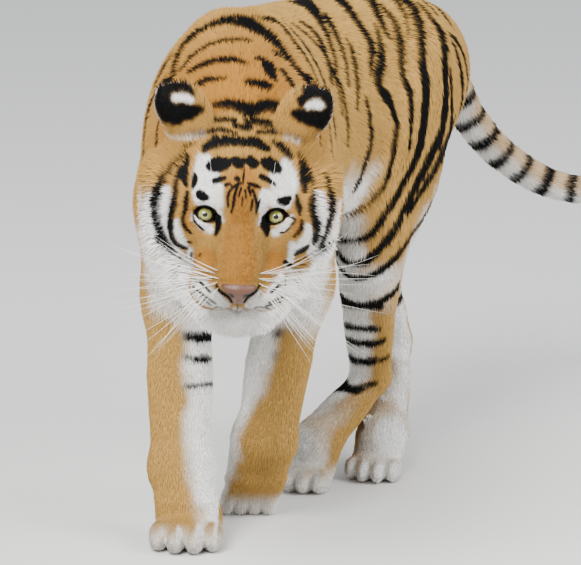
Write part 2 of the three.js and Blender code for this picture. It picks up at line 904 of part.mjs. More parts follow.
/** The tail in three lengths. */
function addTail() {
  const field = new Field([tailShape]);
  const whole = carve(field, ...ROOM.tail, TAIL_STEP);
  const first = { at: TAIL[4].slice(0, 3), normal: [1, 0.25, -0.4] };
  const second = { at: TAIL[6].slice(0, 3), normal: [0.55, -0.25, 0.8] };
  const hung = after(whole, CUTS.tailRoot);
  addNode("tail_base", before(hung, first), COAT);
  addNode("tail_middle", before(after(hung, first), second), COAT);
  addNode("tail_tip", after(after(whole, first), second), COAT);
}

/** Upper arm, forearm and paw of one foreleg. */
function addForeleg(name, leg) {
  const field = bodyWith([name]);
  const elbowCut = jointCut(leg.elbow, leg.wrist, 0.14);
  const wristCut = jointCut(leg.elbow, leg.wrist, 0.88);
  const room = foreRoom(leg.side, -GAP / 2);
  const rough = carve(field, ...ROOM[name], LIMB_STEP);
  addNode(`${name}_upper`, before(before(rough, CUTS.girth), elbowCut).intersect(room), COAT);
  addNode(`${name}_forearm`, before(after(rough, elbowCut).intersect(room), wristCut), COAT);
  const fine = carve(field, ...roomAt(leg.wrist, FORE_PAW_ROOM, -40, 240), PAW_STEP);
  addNode(`${name}_paw`, after(onFloor(fine), wristCut), COAT);
}

/** Thigh, shank, hock and paw of one hind leg. */
function addHindLeg(name, leg, side) {
  const field = bodyWith([name]);
  const kneeCut = { at: shift(leg.knee, [0, 0, -62]), normal: [0, 0, -1] };
  const hockCut = jointCut(leg.knee, leg.hock, 0.8);
  const footCut = jointCut(leg.hock, shift(leg.paw, [0, 30, 60]), 0.72);
  const rough = carve(field, ...roomAt(leg.hock, HIND_LEG_ROOM, 40, 760), LIMB_STEP);
  const half = side > 0 ? after(rough, CUTS.crotch) : before(rough, CUTS.crotch);
  addNode(`${name}_thigh`, before(after(after(half, CUTS.flank), CUTS.haunch), kneeCut), COAT);
  const clear = side > 0 ? before(rough, CUTS.shanks) : after(rough, CUTS.shanks);
  addNode(`${name}_shank`, before(after(clear, kneeCut), hockCut), COAT);
  const fine = carve(field, ...roomAt(leg.hock, HIND_PAW_ROOM, -40, 330), PAW_STEP);
  addNode(`${name}_paw`, after(onFloor(fine), footCut), COAT);
  const coarse = carve(field, ...roomAt(leg.hock, HIND_PAW_ROOM, -40, 400), HOCK_STEP);
  addNode(`${name}_hock`, before(after(coarse, hockCut), footCut), COAT);
}

/** What stands above the floor, flat below. */
function onFloor(solid) {
  return ahead(solid, [0, 0, -GAP / 2], [0, 0, 1]);
}

addHead();
addTrunk();
addTail();
addForeleg("right_fore", RIGHT_FORE);
addForeleg("left_fore", LEFT_FORE);
addHindLeg("left_hind", LEFT_HIND, 1);
addHindLeg("right_hind", RIGHT_HIND, -1);

/** Middle of the box on the floor at the origin. */
function settle() {
  const box = new THREE.Box3().setFromObject(tiger);
  const middle = box.getCenter(new THREE.Vector3());
  tiger.children.forEach((node) => node.geometry.translate(-middle.x, -middle.y, 0));
}

settle();

export default tiger;
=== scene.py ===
"""A walking Amur tiger at life size: one skin, its coat, eyes, nose leather and whiskers.

The body is an implicit surface of sweeps and ellipsoids in body millimetres (x to the animal's left,
y towards the tail, z up).  One skin is drawn on it a coat's depth inside the solid, and the coat stands
on that skin as closed tufts that follow the lie of the hair.
"""
import logging
import math
from dataclasses import dataclass, field
from enum import Enum
from typing import Callable, Optional, Sequence

import bpy
import numpy as np
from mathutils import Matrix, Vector


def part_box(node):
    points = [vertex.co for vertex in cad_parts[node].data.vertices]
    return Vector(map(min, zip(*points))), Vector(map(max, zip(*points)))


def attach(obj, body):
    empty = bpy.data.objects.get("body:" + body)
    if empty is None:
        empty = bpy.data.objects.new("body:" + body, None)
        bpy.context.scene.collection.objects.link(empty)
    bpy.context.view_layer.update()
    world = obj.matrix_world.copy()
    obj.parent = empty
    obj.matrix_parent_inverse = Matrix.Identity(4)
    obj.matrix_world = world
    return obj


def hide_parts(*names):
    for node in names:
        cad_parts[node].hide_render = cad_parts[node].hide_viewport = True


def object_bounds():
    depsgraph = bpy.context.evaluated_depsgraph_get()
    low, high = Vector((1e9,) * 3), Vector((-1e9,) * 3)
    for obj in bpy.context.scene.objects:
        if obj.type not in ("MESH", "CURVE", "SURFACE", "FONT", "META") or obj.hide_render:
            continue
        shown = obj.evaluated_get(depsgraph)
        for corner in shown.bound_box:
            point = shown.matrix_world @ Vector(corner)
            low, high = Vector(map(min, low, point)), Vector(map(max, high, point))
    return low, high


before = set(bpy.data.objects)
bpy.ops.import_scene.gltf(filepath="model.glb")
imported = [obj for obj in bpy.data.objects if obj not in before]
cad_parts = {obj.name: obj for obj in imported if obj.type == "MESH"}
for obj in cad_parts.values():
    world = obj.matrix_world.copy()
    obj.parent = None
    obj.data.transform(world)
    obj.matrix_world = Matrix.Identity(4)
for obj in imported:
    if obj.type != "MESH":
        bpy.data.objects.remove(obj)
CAD_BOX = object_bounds()

log = logging.getLogger("tiger")
Array = np.ndarray
Row = Sequence[float]

# ---- sizes of the animal, millimetres ---------------------------------------------------------
FAR = 1000.0  # a distance well away from any surface
SPANS = 8  # rows to each span of a sweep
EYE_SPACING = 124.0
EYE_RADIUS = 19.0
EYE_DEPTH = -6.0
EYE_DROP = -2.0
HEAD_AT = (11.0, -180.0, 733.0)
HEAD_PITCH = 27.5
HEAD_ROLL = 2.6
MUZZLE = 150.0
WITHERS = 992.0
CHEEK = 172.0
SKULL = 98.0
FORE_PAW = 75.0
HIND_PAW = 61.0
SHORT_CORNERS = 4  # points of a short tuft
LONG_CORNERS = 10  # points of a long one
FACE_TILT = 40.0  # the face is drawn looking down on the palate by this many degrees
LID = (19.5, 2.2, 0.7)  # half length of the opening of the lids, and the two powers of its curve
LID_RISE = (0.16, 0.6)  # slope and height of the line between the lids
LID_OPEN = (10.6, 9.8)  # how far it opens above and below that line

TRUNK = (
    (0, 150, 700, 102, 140), (0, 300, 730, 146, 232), (15, 450, 744, 168, 245),
    (65, 620, 743, 182, 236), (140, 780, 747, 178, 219), (215, 900, 764, 160, 194),
    (285, 1000, 774, 156, 172), (345, 1085, 766, 112, 138), (385, 1140, 762, 60, 82),
)
NECK = ((10, -40, 786, 124, 112), (6, 60, 800, 130, 138), (0, 180, 802, 138, 166), (0, 300, 800, 140, 176))
TAIL = (
    (360, 1110, 835, 46, 56), (405, 1185, 778, 40, 44), (470, 1270, 640, 36, 37),
    (545, 1330, 545, 35, 35), (640, 1370, 480, 33, 33), (735, 1385, 462, 31, 31),
    (815, 1370, 505, 29, 29), (845, 1345, 590, 26, 26), (825, 1330, 665, 17, 17),
)
TAIL_SIDE = (0.3, 1.0, 0.0)


@dataclass(frozen=True)
class ForeLeg:
    """Joint centres of a foreleg.

    Attributes:
        side: +1 on the animal's left, -1 on its right.
        shoulder, elbow, wrist: joint centres.
        paw: middle of the sole; None for the paw that is lifting.
        yaw: turn of the toes in degrees.
        knuckles, toes: ends of the bent paw that is lifting.
    """

    side: int
    shoulder: Row
    elbow: Row
    wrist: Row
    paw: Optional[Row] = None
    yaw: float = 0.0
    knuckles: Optional[Row] = None
    toes: Optional[Row] = None


@dataclass(frozen=True)
class HindLeg:
    """Joint centres of a hind leg; heel_drop lowers the point of the hock."""

    hip: Row
    knee: Row
    hock: Row
    heel_drop: float
    paw: Row
    yaw: float


RIGHT_FORE = ForeLeg(-1, (-112, 270, 650), (-114, 405, 450), (-108, 310, 140), (-94, 245, 0), 6)
LEFT_FORE = ForeLeg(
    1, (116, 285, 650), (112, 445, 462), (50, 420, 165), knuckles=(30, 455, 72), toes=(18, 480, 8)
)
LEFT_HIND = HindLeg((330, 915, 790), (258, 712, 485), (260, 794, 208), 16, (134, 672, 0), 28)
RIGHT_HIND = HindLeg((205, 1015, 790), (228, 888, 505), (306, 964, 240), 18, (271, 756, 0), 16)


# ---- small helpers ----------------------------------------------------------------------------
def unit(v: Array) -> Array:
    """Vectors scaled to length one along their last axis."""
    v = np.asarray(v, float)
    return v / np.maximum(np.linalg.norm(v, axis=-1, keepdims=True), 1e-9)


def lerp(a: Row, b: Row, t: float) -> Array:
    """Point a share t of the way from a to b."""
    return np.asarray(a, float) * (1 - t) + np.asarray(b, float) * t


def mirror(a: Row, side: int) -> Array:
    """The point with its x taken to the given side."""
    return np.array([a[0] * side, a[1], a[2]], float)


def smooth_min(a: Array, b: Array, k: float) -> Array:
    """Smaller of a and b with a rounded change-over of size k: min(a, b) - h*h*k/4."""
    h = np.maximum(k - np.abs(a - b), 0) / k
    return np.minimum(a, b) - h * h * k / 4


def smooth_max(a: Array, b: Array, k: float) -> Array:
    """Larger of a and b with a rounded change-over of size k."""
    return -smooth_min(-a, -b, k)


def step(low: float, high: float, x: Array) -> Array:
    """0 below low, 1 above high, and the cubic 3t*t - 2t*t*t between (low may exceed high)."""
    t = np.clip((x - low) / (high - low), 0, 1)
    return t * t * (3 - 2 * t)


def hashed(cell: Array, seed: int) -> Array:
    """Repeatable random number in 0..1 for each integer cell: the fraction of a large sine."""
    key = cell @ np.array([127.1, 311.7, 74.7]) + 17.17 * seed
    value = np.sin(key) * 43758.5453
    return value - np.floor(value)


def noise(points: Array, size: float, seed: int = 0) -> Array:
    """Smooth random value in -1..1: corner hashes of a cubic lattice, blended by a cubic.

    Args:
        points: n by 3 places.
        size: spacing of the lattice in the same unit.
        seed: picks another pattern.

    Returns:
        One value to each point.
    """
    q = points / size
    base = np.floor(q)
    f = q - base
    f = f * f * (3 - 2 * f)
    total = np.zeros(len(points))
    for corner in range(8):
        c = np.array([corner & 1, corner >> 1 & 1, corner >> 2 & 1])
        weight = np.prod(np.where(c, f, 1 - f), axis=1)
        total += weight * hashed(base + c, seed)
    return 2 * total - 1


def within(points: Array, low: Array, high: Array) -> Array:
    """Numbers of the points inside a box in space or in a plane, tested one axis at a time.

    Args:
        points: n by 3 or n by 2 places.
        low: lowest corner of the box.
        high: highest corner of the box.

    Returns:
        n indices of the points inside.
    """
    found = np.flatnonzero((points[:, 1] > low[1]) & (points[:, 1] < high[1]))
    for n in (2, 0)[3 - points.shape[1]:]:
        value = points[found, n]
        found = found[(value > low[n]) & (value < high[n])]
    return found


def smooth_rows(rows: Array, parts: int = 4) -> Array:
    """Catmull-Rom points through the rows, in parts to each span: a cubic in t from b to c.

    Args:
        rows: stations of the path.
        parts: parts that each span is cut into.

    Returns:
        The finer rows, with both ends kept.
    """
    table = np.array([2 * rows[0] - rows[1], *rows, 2 * rows[-1] - rows[-2]])
    out = []
    for a, b, c, d in zip(table, table[1:], table[2:], table[3:]):
        for t in np.arange(parts) / parts:
            square = (2 * a - 5 * b + 4 * c - d) * t * t
            out.append(0.5 * (2 * b + (c - a) * t + square + (3 * b - a - 3 * c + d) * t ** 3))
    out.append(rows[-1])
    return np.array(out)


def turned(yaw: float, pitch: float, roll: float) -> Array:
    """Rotation matrix: roll about y, then pitch about x, then yaw about z, in degrees.

    Args:
        yaw: turn about z.
        pitch: turn about x.
        roll: turn about y.

    Returns:
        3 by 3 matrix.
    """
    z, x, y = np.radians([yaw, pitch, roll])
    about_z = np.array([[math.cos(z), -math.sin(z), 0], [math.sin(z), math.cos(z), 0], [0, 0, 1]])
    about_x = np.array([[1, 0, 0], [0, math.cos(x), -math.sin(x)], [0, math.sin(x), math.cos(x)]])
    about_y = np.array([[math.cos(y), 0, math.sin(y)], [0, 1, 0], [-math.sin(y), 0, math.cos(y)]])
    return about_z @ about_x @ about_y


# ---- shapes of the body -----------------------------------------------------------------------
class Sweep:
    """An elliptical section carried along a smooth path.

    Each row is x, y, z, half width, half height; rows between stations follow a Catmull-Rom curve.
    The distance from a segment is k0*(k0-1)/k1, with k0 the offset over the radii and k1 the offset
    over the radii squared, and the sweep's is the smallest of its segments'.
    """

    def __init__(self, stations: Sequence[Row], blend: float, side: Optional[Row] = None) -> None:
        """Args: stations: rows of the path. blend: rounding where it joins. side: way of the width."""
        self.blend = blend
        self.rows = smooth_rows(np.array([np.asarray(row, float) for row in stations]), SPANS)
        self.axes = unit(np.diff(self.rows[:, :3], axis=0))
        across = np.cross(self.axes, (0, 0, 1)) if side is None else np.tile(side, (len(self.axes), 1))
        self.across = unit(across - self.axes * np.sum(across * self.axes, axis=1, keepdims=True))

    def distance(self, points: Array, reach: float) -> Array:
        """Distance of each point, FAR where it is more than reach away.

        Args:
            points: n by 3 places.
            reach: how far from the sweep the distance matters.

        Returns:
            n distances, negative inside.
        """
        whole = np.full(len(points), FAR)
        margin = self.rows[:, 3:].max() + reach
        box = within(points, self.rows[:, :3].min(axis=0) - margin, self.rows[:, :3].max(axis=0) + margin)
        if not len(box):
            return whole
        inside = points[box]
        best = np.full(len(box), FAR)
        for a, b, axis, across in zip(self.rows, self.rows[1:], self.axes, self.across):
            margin = max(a[3], a[4], b[3], b[4]) + reach
            near = within(inside, np.minimum(a[:3], b[:3]) - margin, np.maximum(a[:3], b[:3]) + margin)
            if not len(near):
                continue
            length = np.linalg.norm(b[:3] - a[:3])
            p = inside[near] - a[:3]
            t = np.clip(p @ axis / length, 0, 1)
            c = p - (t * length)[:, None] * axis
            u = c @ across
            v2 = np.maximum(np.sum(c * c, axis=1) - u * u, 0)
            w2 = (a[3] + (b[3] - a[3]) * t) ** 2
            h2 = (a[4] + (b[4] - a[4]) * t) ** 2
            k0 = np.sqrt(u * u / w2 + v2 / h2) + 1e-9
            k1 = np.sqrt(u * u / (w2 * w2) + v2 / (h2 * h2)) + 1e-12
            best[near] = np.minimum(best[near], k0 * (k0 - 1) / k1)
        whole[box] = best
        return whole

    def place(self, points: Array) -> tuple[Array, Array]:
        """Length along the path and direction of the path at each point's nearest row.

        Args:
            points: n by 3 places in the frame of the path.

        Returns:
            n lengths and n by 3 unit directions.
        """
        lengths = np.concatenate([[0], np.cumsum(np.linalg.norm(np.diff(self.rows[:, :3], axis=0), axis=1))])
        best = np.full(len(points), 1e12)
        along = np.zeros(len(points))
        way = np.zeros((len(points), 3))
        for k, (a, axis) in enumerate(zip(self.rows, self.axes)):
            length = lengths[k + 1] - lengths[k]
            p = points - a[:3]
            t = np.clip(p @ axis, 0, length)
            gap = np.sum((p - t[:, None] * axis) ** 2, axis=1)
            nearer = gap < best
            best[nearer] = gap[nearer]
            along[nearer] = lengths[k] + t[nearer]
            way[nearer] = axis
        return along, way


class Mass:
    """An ellipsoid; distance k0*(k0-1)/k1 with k0 = |q/r| and k1 = |q/r/r| in its own axes."""

    def __init__(
        self, centre: Row, radii: Row, blend: float, turn: Row = (0, 0, 0), cut: bool = False
    ) -> None:
        """Args: centre, radii: millimetres. blend: rounding. turn: degrees. cut: takes away instead."""
        self.centre = np.asarray(centre, float)
        self.radii = np.asarray(radii, float)
        self.blend = blend
        self.matrix = turned(*turn)
        self.cut = cut

    def distance(self, points: Array, reach: float) -> Array:
        """Distance of each point, FAR where it is more than reach outside.

        Args:
            points: n by 3 places.
            reach: how far from the ellipsoid the distance matters.

        Returns:
            n distances, negative inside.
        """
        best = np.full(len(points), FAR)
        margin = self.radii.max() + reach
        near = within(points, self.centre - margin, self.centre + margin)
        q = (points[near] - self.centre) @ self.matrix / self.radii
        k0 = np.linalg.norm(q, axis=1) + 1e-9
        best[near] = k0 * (k0 - 1) / (np.linalg.norm(q / self.radii, axis=1) + 1e-12)
        return best


def joined(distance: Array, shapes: Sequence, points: Array, reach: float = 60.0) -> Array:
    """The field with each shape blended into it (or cut out of it) in turn.

    Args:
        distance: field so far, one value to each point.
        shapes: sweeps and masses.
        points: n by 3 places.
        reach: how far from a shape it still counts, beyond its blend.

    Returns:
        The new field.
    """
    d = distance.copy()
    for shape in shapes:
        own = shape.distance(points, reach + shape.blend)
        m = np.flatnonzero(own < FAR)
        if getattr(shape, "cut", False):
            d[m] = smooth_max(d[m], -own[m], shape.blend)
        else:
            d[m] = smooth_min(d[m], own[m], shape.blend)
    return d


# ---- head -------------------------------------------------------------------------------------
def lid_gap(u: Array, v: Array) -> tuple[Array, Array, Array]:
    """Share of the opening left at each u, its middle line, and how far v lies outside it.

    Args:
        u: out from the nose, from the eye's middle.
        v: up from the eye's middle.

    Returns:
        Three arrays of n.
    """
    half, outer, inner = LID
    tip = np.clip(1 - (np.abs(u + 1.0) / half) ** outer, 0, None)
    middle = LID_RISE[0] * (u + 1.0) + LID_RISE[1]
    above = v - middle - LID_OPEN[0] * tip ** inner
    return tip, middle, np.maximum(above, middle - v - LID_OPEN[1] * tip ** inner)


def almond(u: Array, v: Array) -> Array:
    """Distance outside the opening between the lids: u out from the nose, v up, from the eye's middle."""
    tip, middle, gap = lid_gap(u, v)
    return np.where(tip > 0, gap, np.hypot(np.abs(u + 1.0) - LID[0], v - middle))


class Head:
    """Head in its own frame: x to its left, y back, z up, from the point midway between the eyes."""

    def __init__(self) -> None:
        """Gathers the shapes of skull, muzzle, cheeks and ears."""
        self.matrix = turned(0, HEAD_PITCH, 0) @ turned(0, 0, HEAD_ROLL)
        tilt = math.radians(FACE_TILT)
        self.facing = np.array([0, -math.cos(tilt), math.sin(tilt)])
        self.face_up = np.array([0, math.sin(tilt), math.cos(tilt)])
        nose = -MUZZLE
        flat = (1, 0, 0)
        self.shapes: list = [
            Mass((0, 88, 8), (SKULL, 118, 86), 30),
            Mass((0, 24, 10), (76, 60, 46), 34),
            Sweep(((0, 10, -6, 48, 34), (0, -50, -22, 44, 34), (0, nose + 45, -38, 41, 31),
                   (0, nose + 22, -47, 36, 28)), 30, flat),
            Sweep(((0, 30, -62, 92, 62), (0, -35, -72, 80, 50), (0, nose + 60, -84, 68, 42)), 34, flat),
            Sweep(((0, nose + 50, -156, 43, 33), (0, -50, -151, 66, 43), (0, 30, -140, 108, 58)), 34, flat),
        ]
        self.ears: list = []
        for side in (-1, 1):
            self.shapes += [
                Mass(mirror((50, 12, 30), side), (34, 34, 22), 22),
                Mass(mirror((84, 40, -44), side), (46, 74, 60), 40),
                Mass(mirror((44, 46 - MUZZLE, -84), side), (45, 50, 37), 18),
                Mass(mirror((CHEEK - 58, 112, -46), side), (56, 84, 88), 70, (-14 * side, 0, 10 * side)),
                Mass(mirror((102, 98, -118), side), (58, 70, 62), 60),
                Mass(mirror((98, 124, 66), side), (36, 34, 40), 40),
            ]
            tilt_ear = (-24 * side, -28, 32 * side)
            back = Mass(mirror((110, 140, 120), side), (44, 25, 58), 12, tilt_ear)
            cup = Mass(mirror((121, 165, 137), side), (33, 25, 46), 5, tilt_ear)
            self.ears.append((side, back, cup))
        self.nose_pad = [
            Mass((0, nose + 5, -50), (32, 18, 12), 8),
            Mass((0, nose + 3, -66), (14, 15, 21), 16),
        ]

    def to_head(self, points: Array) -> Array:
        """Body places as head places."""
        return (points - np.array(HEAD_AT)) @ self.matrix

    def to_body(self, points: Array) -> Array:
        """Head places as body places."""
        return points @ self.matrix.T + np.array(HEAD_AT)

    def eye_centre(self, side: int) -> Array:
        """Centre of the eyeball in the head frame."""
        return np.array([side * EYE_SPACING / 2, EYE_DEPTH, EYE_DROP])

    def from_eye(self, q: Array) -> Array:
        """Distance of head places from the middle of the nearer eye."""
        folded = np.stack([np.abs(q[:, 0]), q[:, 1], q[:, 2]], axis=1)
        return np.linalg.norm(folded - self.eye_centre(1), axis=1)

    def eye_frame(self, q: Array) -> tuple[Array, Array, Array, Array]:
        """Out from the nose, up, ahead and distance of head places, all from the middle of the eye."""
        side = np.where(q[:, 0] < 0, -1.0, 1.0)
        e = q - np.stack([side * EYE_SPACING / 2, 0 * side + EYE_DEPTH, 0 * side + EYE_DROP], axis=1)
        return e[:, 0] * side, e @ self.face_up, e @ self.facing, np.linalg.norm(e, axis=1)

    def ear_distance(self, q: Array, wall: float = 10.0) -> Array:
        """Distance from the two ear shells: outer form less the cup, whose wall is made thicker.

        Args:
            q: n by 3 head places.
            wall: millimetres that the cup is made smaller by.

        Returns:
            n distances.
        """
        best = np.full(len(q), FAR)
        for _, back, cup in self.ears:
            outer = back.distance(q, 80)
            m = np.flatnonzero(outer < FAR)
            best[m] = np.minimum(best[m], smooth_max(outer[m], -cup.distance(q[m], 500) - wall, cup.blend))
        return best

    def distance(self, points: Array, details: bool) -> Array:
        """Distance from the head, ears included.

        Args:
            points: n by 3 body places.
            details: whether lids, lips and folds are cut as well.

        Returns:
            n distances.
        """
        q = self.to_head(points)
        d = joined(np.full(len(q), FAR), self.shapes, q)
        if details:
            d = self.folds(q, d)
        ear = self.ear_distance(q)
        m = np.flatnonzero(ear < FAR)
        d[m] = smooth_min(d[m], ear[m], 14)
        return d

    def folds(self, q: Array, d: Array) -> Array:
        """Lids, the fold above them and the bag below, the line between the lips and the groove below the
        nose laid on the plain head.

        Args:
            q: n by 3 head places.
            d: distance from the plain head.

        Returns:
            The distance with the folds.
        """
        near = np.flatnonzero((np.abs(d) < 40) & (q[:, 1] < 60))
        p = q[near]
        f = d[near]
        across = np.abs(p[:, 0])
        u, v, w, ball = self.eye_frame(p)
        # lids: a ball a little larger than the eye, bulged into the orbit
        f = smooth_min(f, np.where(w > -8, ball - (EYE_RADIUS + 3.4), FAR), 9)
        # opening: an almond higher at its outer corner
        tip, middle, gap = lid_gap(u, v)
        gap = np.where(tip > 0, gap, 6.0)
        inside = np.maximum(np.maximum(gap, 12 - ball), -w)
        f = smooth_max(f, -inside, 1.2)
        # crease above the upper lid and bag under the lower one
        crease = np.abs(v - middle - 15.5 + 0.03 * u * u)
        f += np.where((w > 0) & (np.abs(u) < 24), 2.4 * np.exp(-(crease / 2.2) ** 2), 0)
        bag = np.abs(v - middle + 15.0 - 0.028 * u * u)
        f += np.where((w > 0) & (np.abs(u) < 24), 1.6 * np.exp(-(bag / 2.4) ** 2), 0)
        # line between the lips, dipping below the nose and rising to the corner of the mouth
        mouth_z = -124 + 0.0016 * (across - 8) ** 2 - 7 * np.exp(-(across / 9) ** 2)
        back = step(70, 20, p[:, 1])
        f += back * 9 * np.exp(-((p[:, 2] - mouth_z) / 3.2) ** 2)
        # groove below the nose
        front = (p[:, 1] < -MUZZLE + 40) & (p[:, 2] > mouth_z - 2) & (p[:, 2] < -55)
        f += np.where(front, 5 * np.exp(-(across / 2.6) ** 2), 0)
        d = d.copy()
        d[near] += step(38, 18, np.abs(d[near])) * (f - d[near])
        return d


# ---- legs -------------------------------------------------------------------------------------
def paw_shapes(centre: Row, yaw: float, half: float, wrist: Row, wrist_size: float) -> list:
    """A rounded paw of four toes.

    Args:
        centre: middle of the sole on the floor.
        yaw: degrees the toes turn to the animal's right.
        half: half width over the toes.
        wrist: where the paw leaves the limb.
        wrist_size: half width there.

    Returns:
        The shapes of the paw.
    """
    turn = math.radians(yaw)
    forward = np.array([-math.sin(turn), -math.cos(turn), 0])
    across = np.array([math.cos(turn), -math.sin(turn), 0])
    size = half / FORE_PAW

    def at(x: float, y: float, z: float) -> Array:
        """A place of the paw: x across, y forward, z up."""
        return np.asarray(centre, float) + across * x + forward * y + np.array([0, 0, z])

    shapes: list = [
        Sweep((
            (*wrist, wrist_size, wrist_size * 0.86),
            (*lerp(wrist, at(0, -20 * size, 50 * size), 0.6), half * 0.84, 50 * size),
            (*at(0, -12 * size, 44 * size), half * 0.88, 42 * size),
            (*at(0, 28 * size, 34 * size), half * 0.8, 30 * size),
        ), 30, across),
        Mass(at(0, -24 * size, 20 * size), (half * 0.66, 36 * size, 26 * size), 14, (-yaw, 0, 0)),
    ]
    for offset, reach in ((-0.68, 26), (-0.24, 44), (0.24, 44), (0.68, 26)):
        toe = at(offset * half, reach * size, 26 * size)
        shapes.append(Mass(toe, (half * 0.29, 40 * size, 32 * size), 8, (-yaw, 0, 0)))
    return shapes


def shoulder_shapes(leg: ForeLeg) -> list:
    """Blade, upper arm and the muscle behind it.

    Args:
        leg: its joint centres.

    Returns:
        Three sweeps.
    """
    side = leg.side
    x, y, z = leg.shoulder
    ex, ey, ez = leg.elbow
    flat = (1, 0, 0)
    return [
        Sweep(((side * 32, 385, WITHERS - 54, 48, 62), (side * 84, 330, 830, 60, 108),
               (x, y + 10, z + 20, 66, 96)), 70, flat),
        Sweep(((x, y, z, 70, 90), (*lerp(leg.shoulder, leg.elbow, 0.5), 72, 90), (ex, ey, ez, 66, 76)),
              50, flat),
        Sweep(((side * 112, 430, 720, 48, 88), (ex, ey + 25, ez + 75, 58, 80), (ex, ey + 22, ez, 52, 56)),
              50, flat),
    ]


def forearm_shape(leg: ForeLeg) -> Sweep:
    """Forearm from the elbow to the wrist.

    Args:
        leg: its joint centres.

    Returns:
        One sweep.
    """
    middle = lerp(leg.elbow, leg.wrist, 0.5) + np.array([0, 10, 20])
    return Sweep((
        (*leg.elbow, 64, 72), (*middle, 67, 66), (*lerp(leg.wrist, leg.elbow, 0.2), 62, 56),
        (*leg.wrist, 62, 54),
    ), 40, (1, 0, 0))


def right_fore_shapes() -> list:
    """The planted foreleg."""
    leg = RIGHT_FORE
    return [*shoulder_shapes(leg), forearm_shape(leg), *paw_shapes(leg.paw, leg.yaw, FORE_PAW, leg.wrist, 62)]


def left_fore_shapes() -> list:
    """The lifting foreleg: bent at the wrist, its toe tips trailing on the floor.

    Returns:
        Sweeps and masses from the shoulder to the toes.
    """
    leg = LEFT_FORE
    side = (1, -0.12, -0.1)
    shapes = [
        *shoulder_shapes(leg),
        forearm_shape(leg),
        Sweep(((*leg.wrist, 62, 54), (*lerp(leg.wrist, leg.knuckles, 0.55), 63, 47),
               (*leg.knuckles, 60, 40)), 28, side),
        Mass(np.add(leg.wrist, (-44, 6, -36)), (20, 24, 28), 18),
    ]
    for offset, lift in ((-0.66, 7), (-0.22, 0), (0.22, 0), (0.66, 8)):
        tip = np.add(leg.toes, (offset * 62, -lift, lift + 6))
        root = np.add(leg.knuckles, (offset * 52, 0, 0))
        shapes.append(Sweep(((*root, 20, 32), (*lerp(root, tip, 0.5), 20, 31), (*tip, 17, 25)), 9, side))
    return shapes


def hind_shapes(leg: HindLeg) -> list:
    """One hind leg: thigh, ham, shank, hock and paw.

    Args:
        leg: its joint centres.

    Returns:
        Sweeps and masses from the hip to the toes.
    """
    out = (0.84, -0.54, 0)
    down = (0.9, -0.43, 0)
    heel = np.add(leg.hock, (6, 16, -leg.heel_drop))
    ankle = np.add(leg.paw, (16, 42, 84))
    thigh = lerp(leg.hip, leg.knee, 0.5) + np.array([12, 10, 0])
    ham = lerp(leg.hip, leg.hock, 0.4) + np.array([12, 40, 0])
    shank = lerp(leg.knee, leg.hock, 0.5) + np.array([-4, 0, 10])
    return [
        Sweep(((*leg.hip, 76, 122), (*thigh, 84, 128), (*leg.knee, 62, 80)), 60, out),
        Sweep(((*np.add(leg.hip, (20, 90, -60)), 68, 100), (*ham, 60, 90),
               (*lerp(leg.knee, leg.hock, 0.36), 44, 44)), 50, out),
        Sweep(((*leg.knee, 62, 72), (*shank, 60, 50), (*leg.hock, 44, 40)), 40, down),
        Sweep(((*heel, 34, 38), (*lerp(heel, ankle, 0.5), 46, 42), (*ankle, 50, 42)), 26, down),
        *paw_shapes(leg.paw, leg.yaw, HIND_PAW, ankle, 46),
    ]


# ---- the whole body ---------------------------------------------------------------------------
class Body:
    """The animal as one field: legs blend into the trunk but never into each other."""

    def __init__(self) -> None:
        """Gathers the trunk, tail, head and legs."""
        self.trunk = Sweep(TRUNK, 60)
        self.neck = Sweep(NECK, 70)
        self.tail = Sweep(TAIL, 40, TAIL_SIDE)
        self.head = Head()
        self.legs = {
            "right_fore": right_fore_shapes(),
            "left_fore": left_fore_shapes(),
            "left_hind": hind_shapes(LEFT_HIND),
            "right_hind": hind_shapes(RIGHT_HIND),
        }

    def distance(self, points: Array, details: bool = False) -> Array:
        """Distance of body places from the tips of the coat.

        Args:
            points: n by 3 places.
            details: whether the folds of the face are cut.

        Returns:
            n distances, negative inside.
        """
        start = np.full(len(points), FAR)
        trunk = joined(start, [self.trunk, self.neck, self.tail], points)
        best = trunk
        for shapes in self.legs.values():
            best = smooth_min(best, joined(trunk, shapes, points), 1.0)
        near = np.flatnonzero(points[:, 1] < 160)
        if len(near):
            head = self.head.distance(points[near], details)
            best[near] = smooth_min(best[near], head, 50)
        return best

    def depth(self, points: Array) -> Array:
        """Depth of the coat over the skin at each place.

        Args:
            points: n by 3 body places, millimetres.

        Returns:
            n depths, millimetres.
        """
        q = self.head.to_head(points)
        depth = np.full(len(points), 7.0)
        depth = np.where(points[:, 2] < 330, 5.5, depth)
        depth = np.where(points[:, 2] < 90, 3.5, depth)
        in_head = step(150, 60, q[:, 1]) * step(-330, -260, q[:, 2])
        face = step(60, -30, q[:, 1] - 0.25 * np.abs(q[:, 0])) * step(150, 100, np.abs(q[:, 0]))
        ear = step(14, 2, self.head.ear_distance(q))
        lid = step(34, 24, self.head.from_eye(q))
        head_depth = 7.5 - 5.3 * face
        head_depth = head_depth + lid * (1.2 - head_depth)
        depth = depth + in_head * (head_depth - depth)
        return depth + ear * (1.2 - depth)

    def hind_distances(self, points: Array) -> list:
        """Distance of each place from the left and from the right hind leg."""
        start = np.full(len(points), FAR)
        return [joined(start, self.legs[name], points, 150) for name in ("left_hind", "right_hind")]

    def level(self, points: Array) -> Array:
        """Distance from the skin."""
        return self.distance(points, True) + self.depth(points)


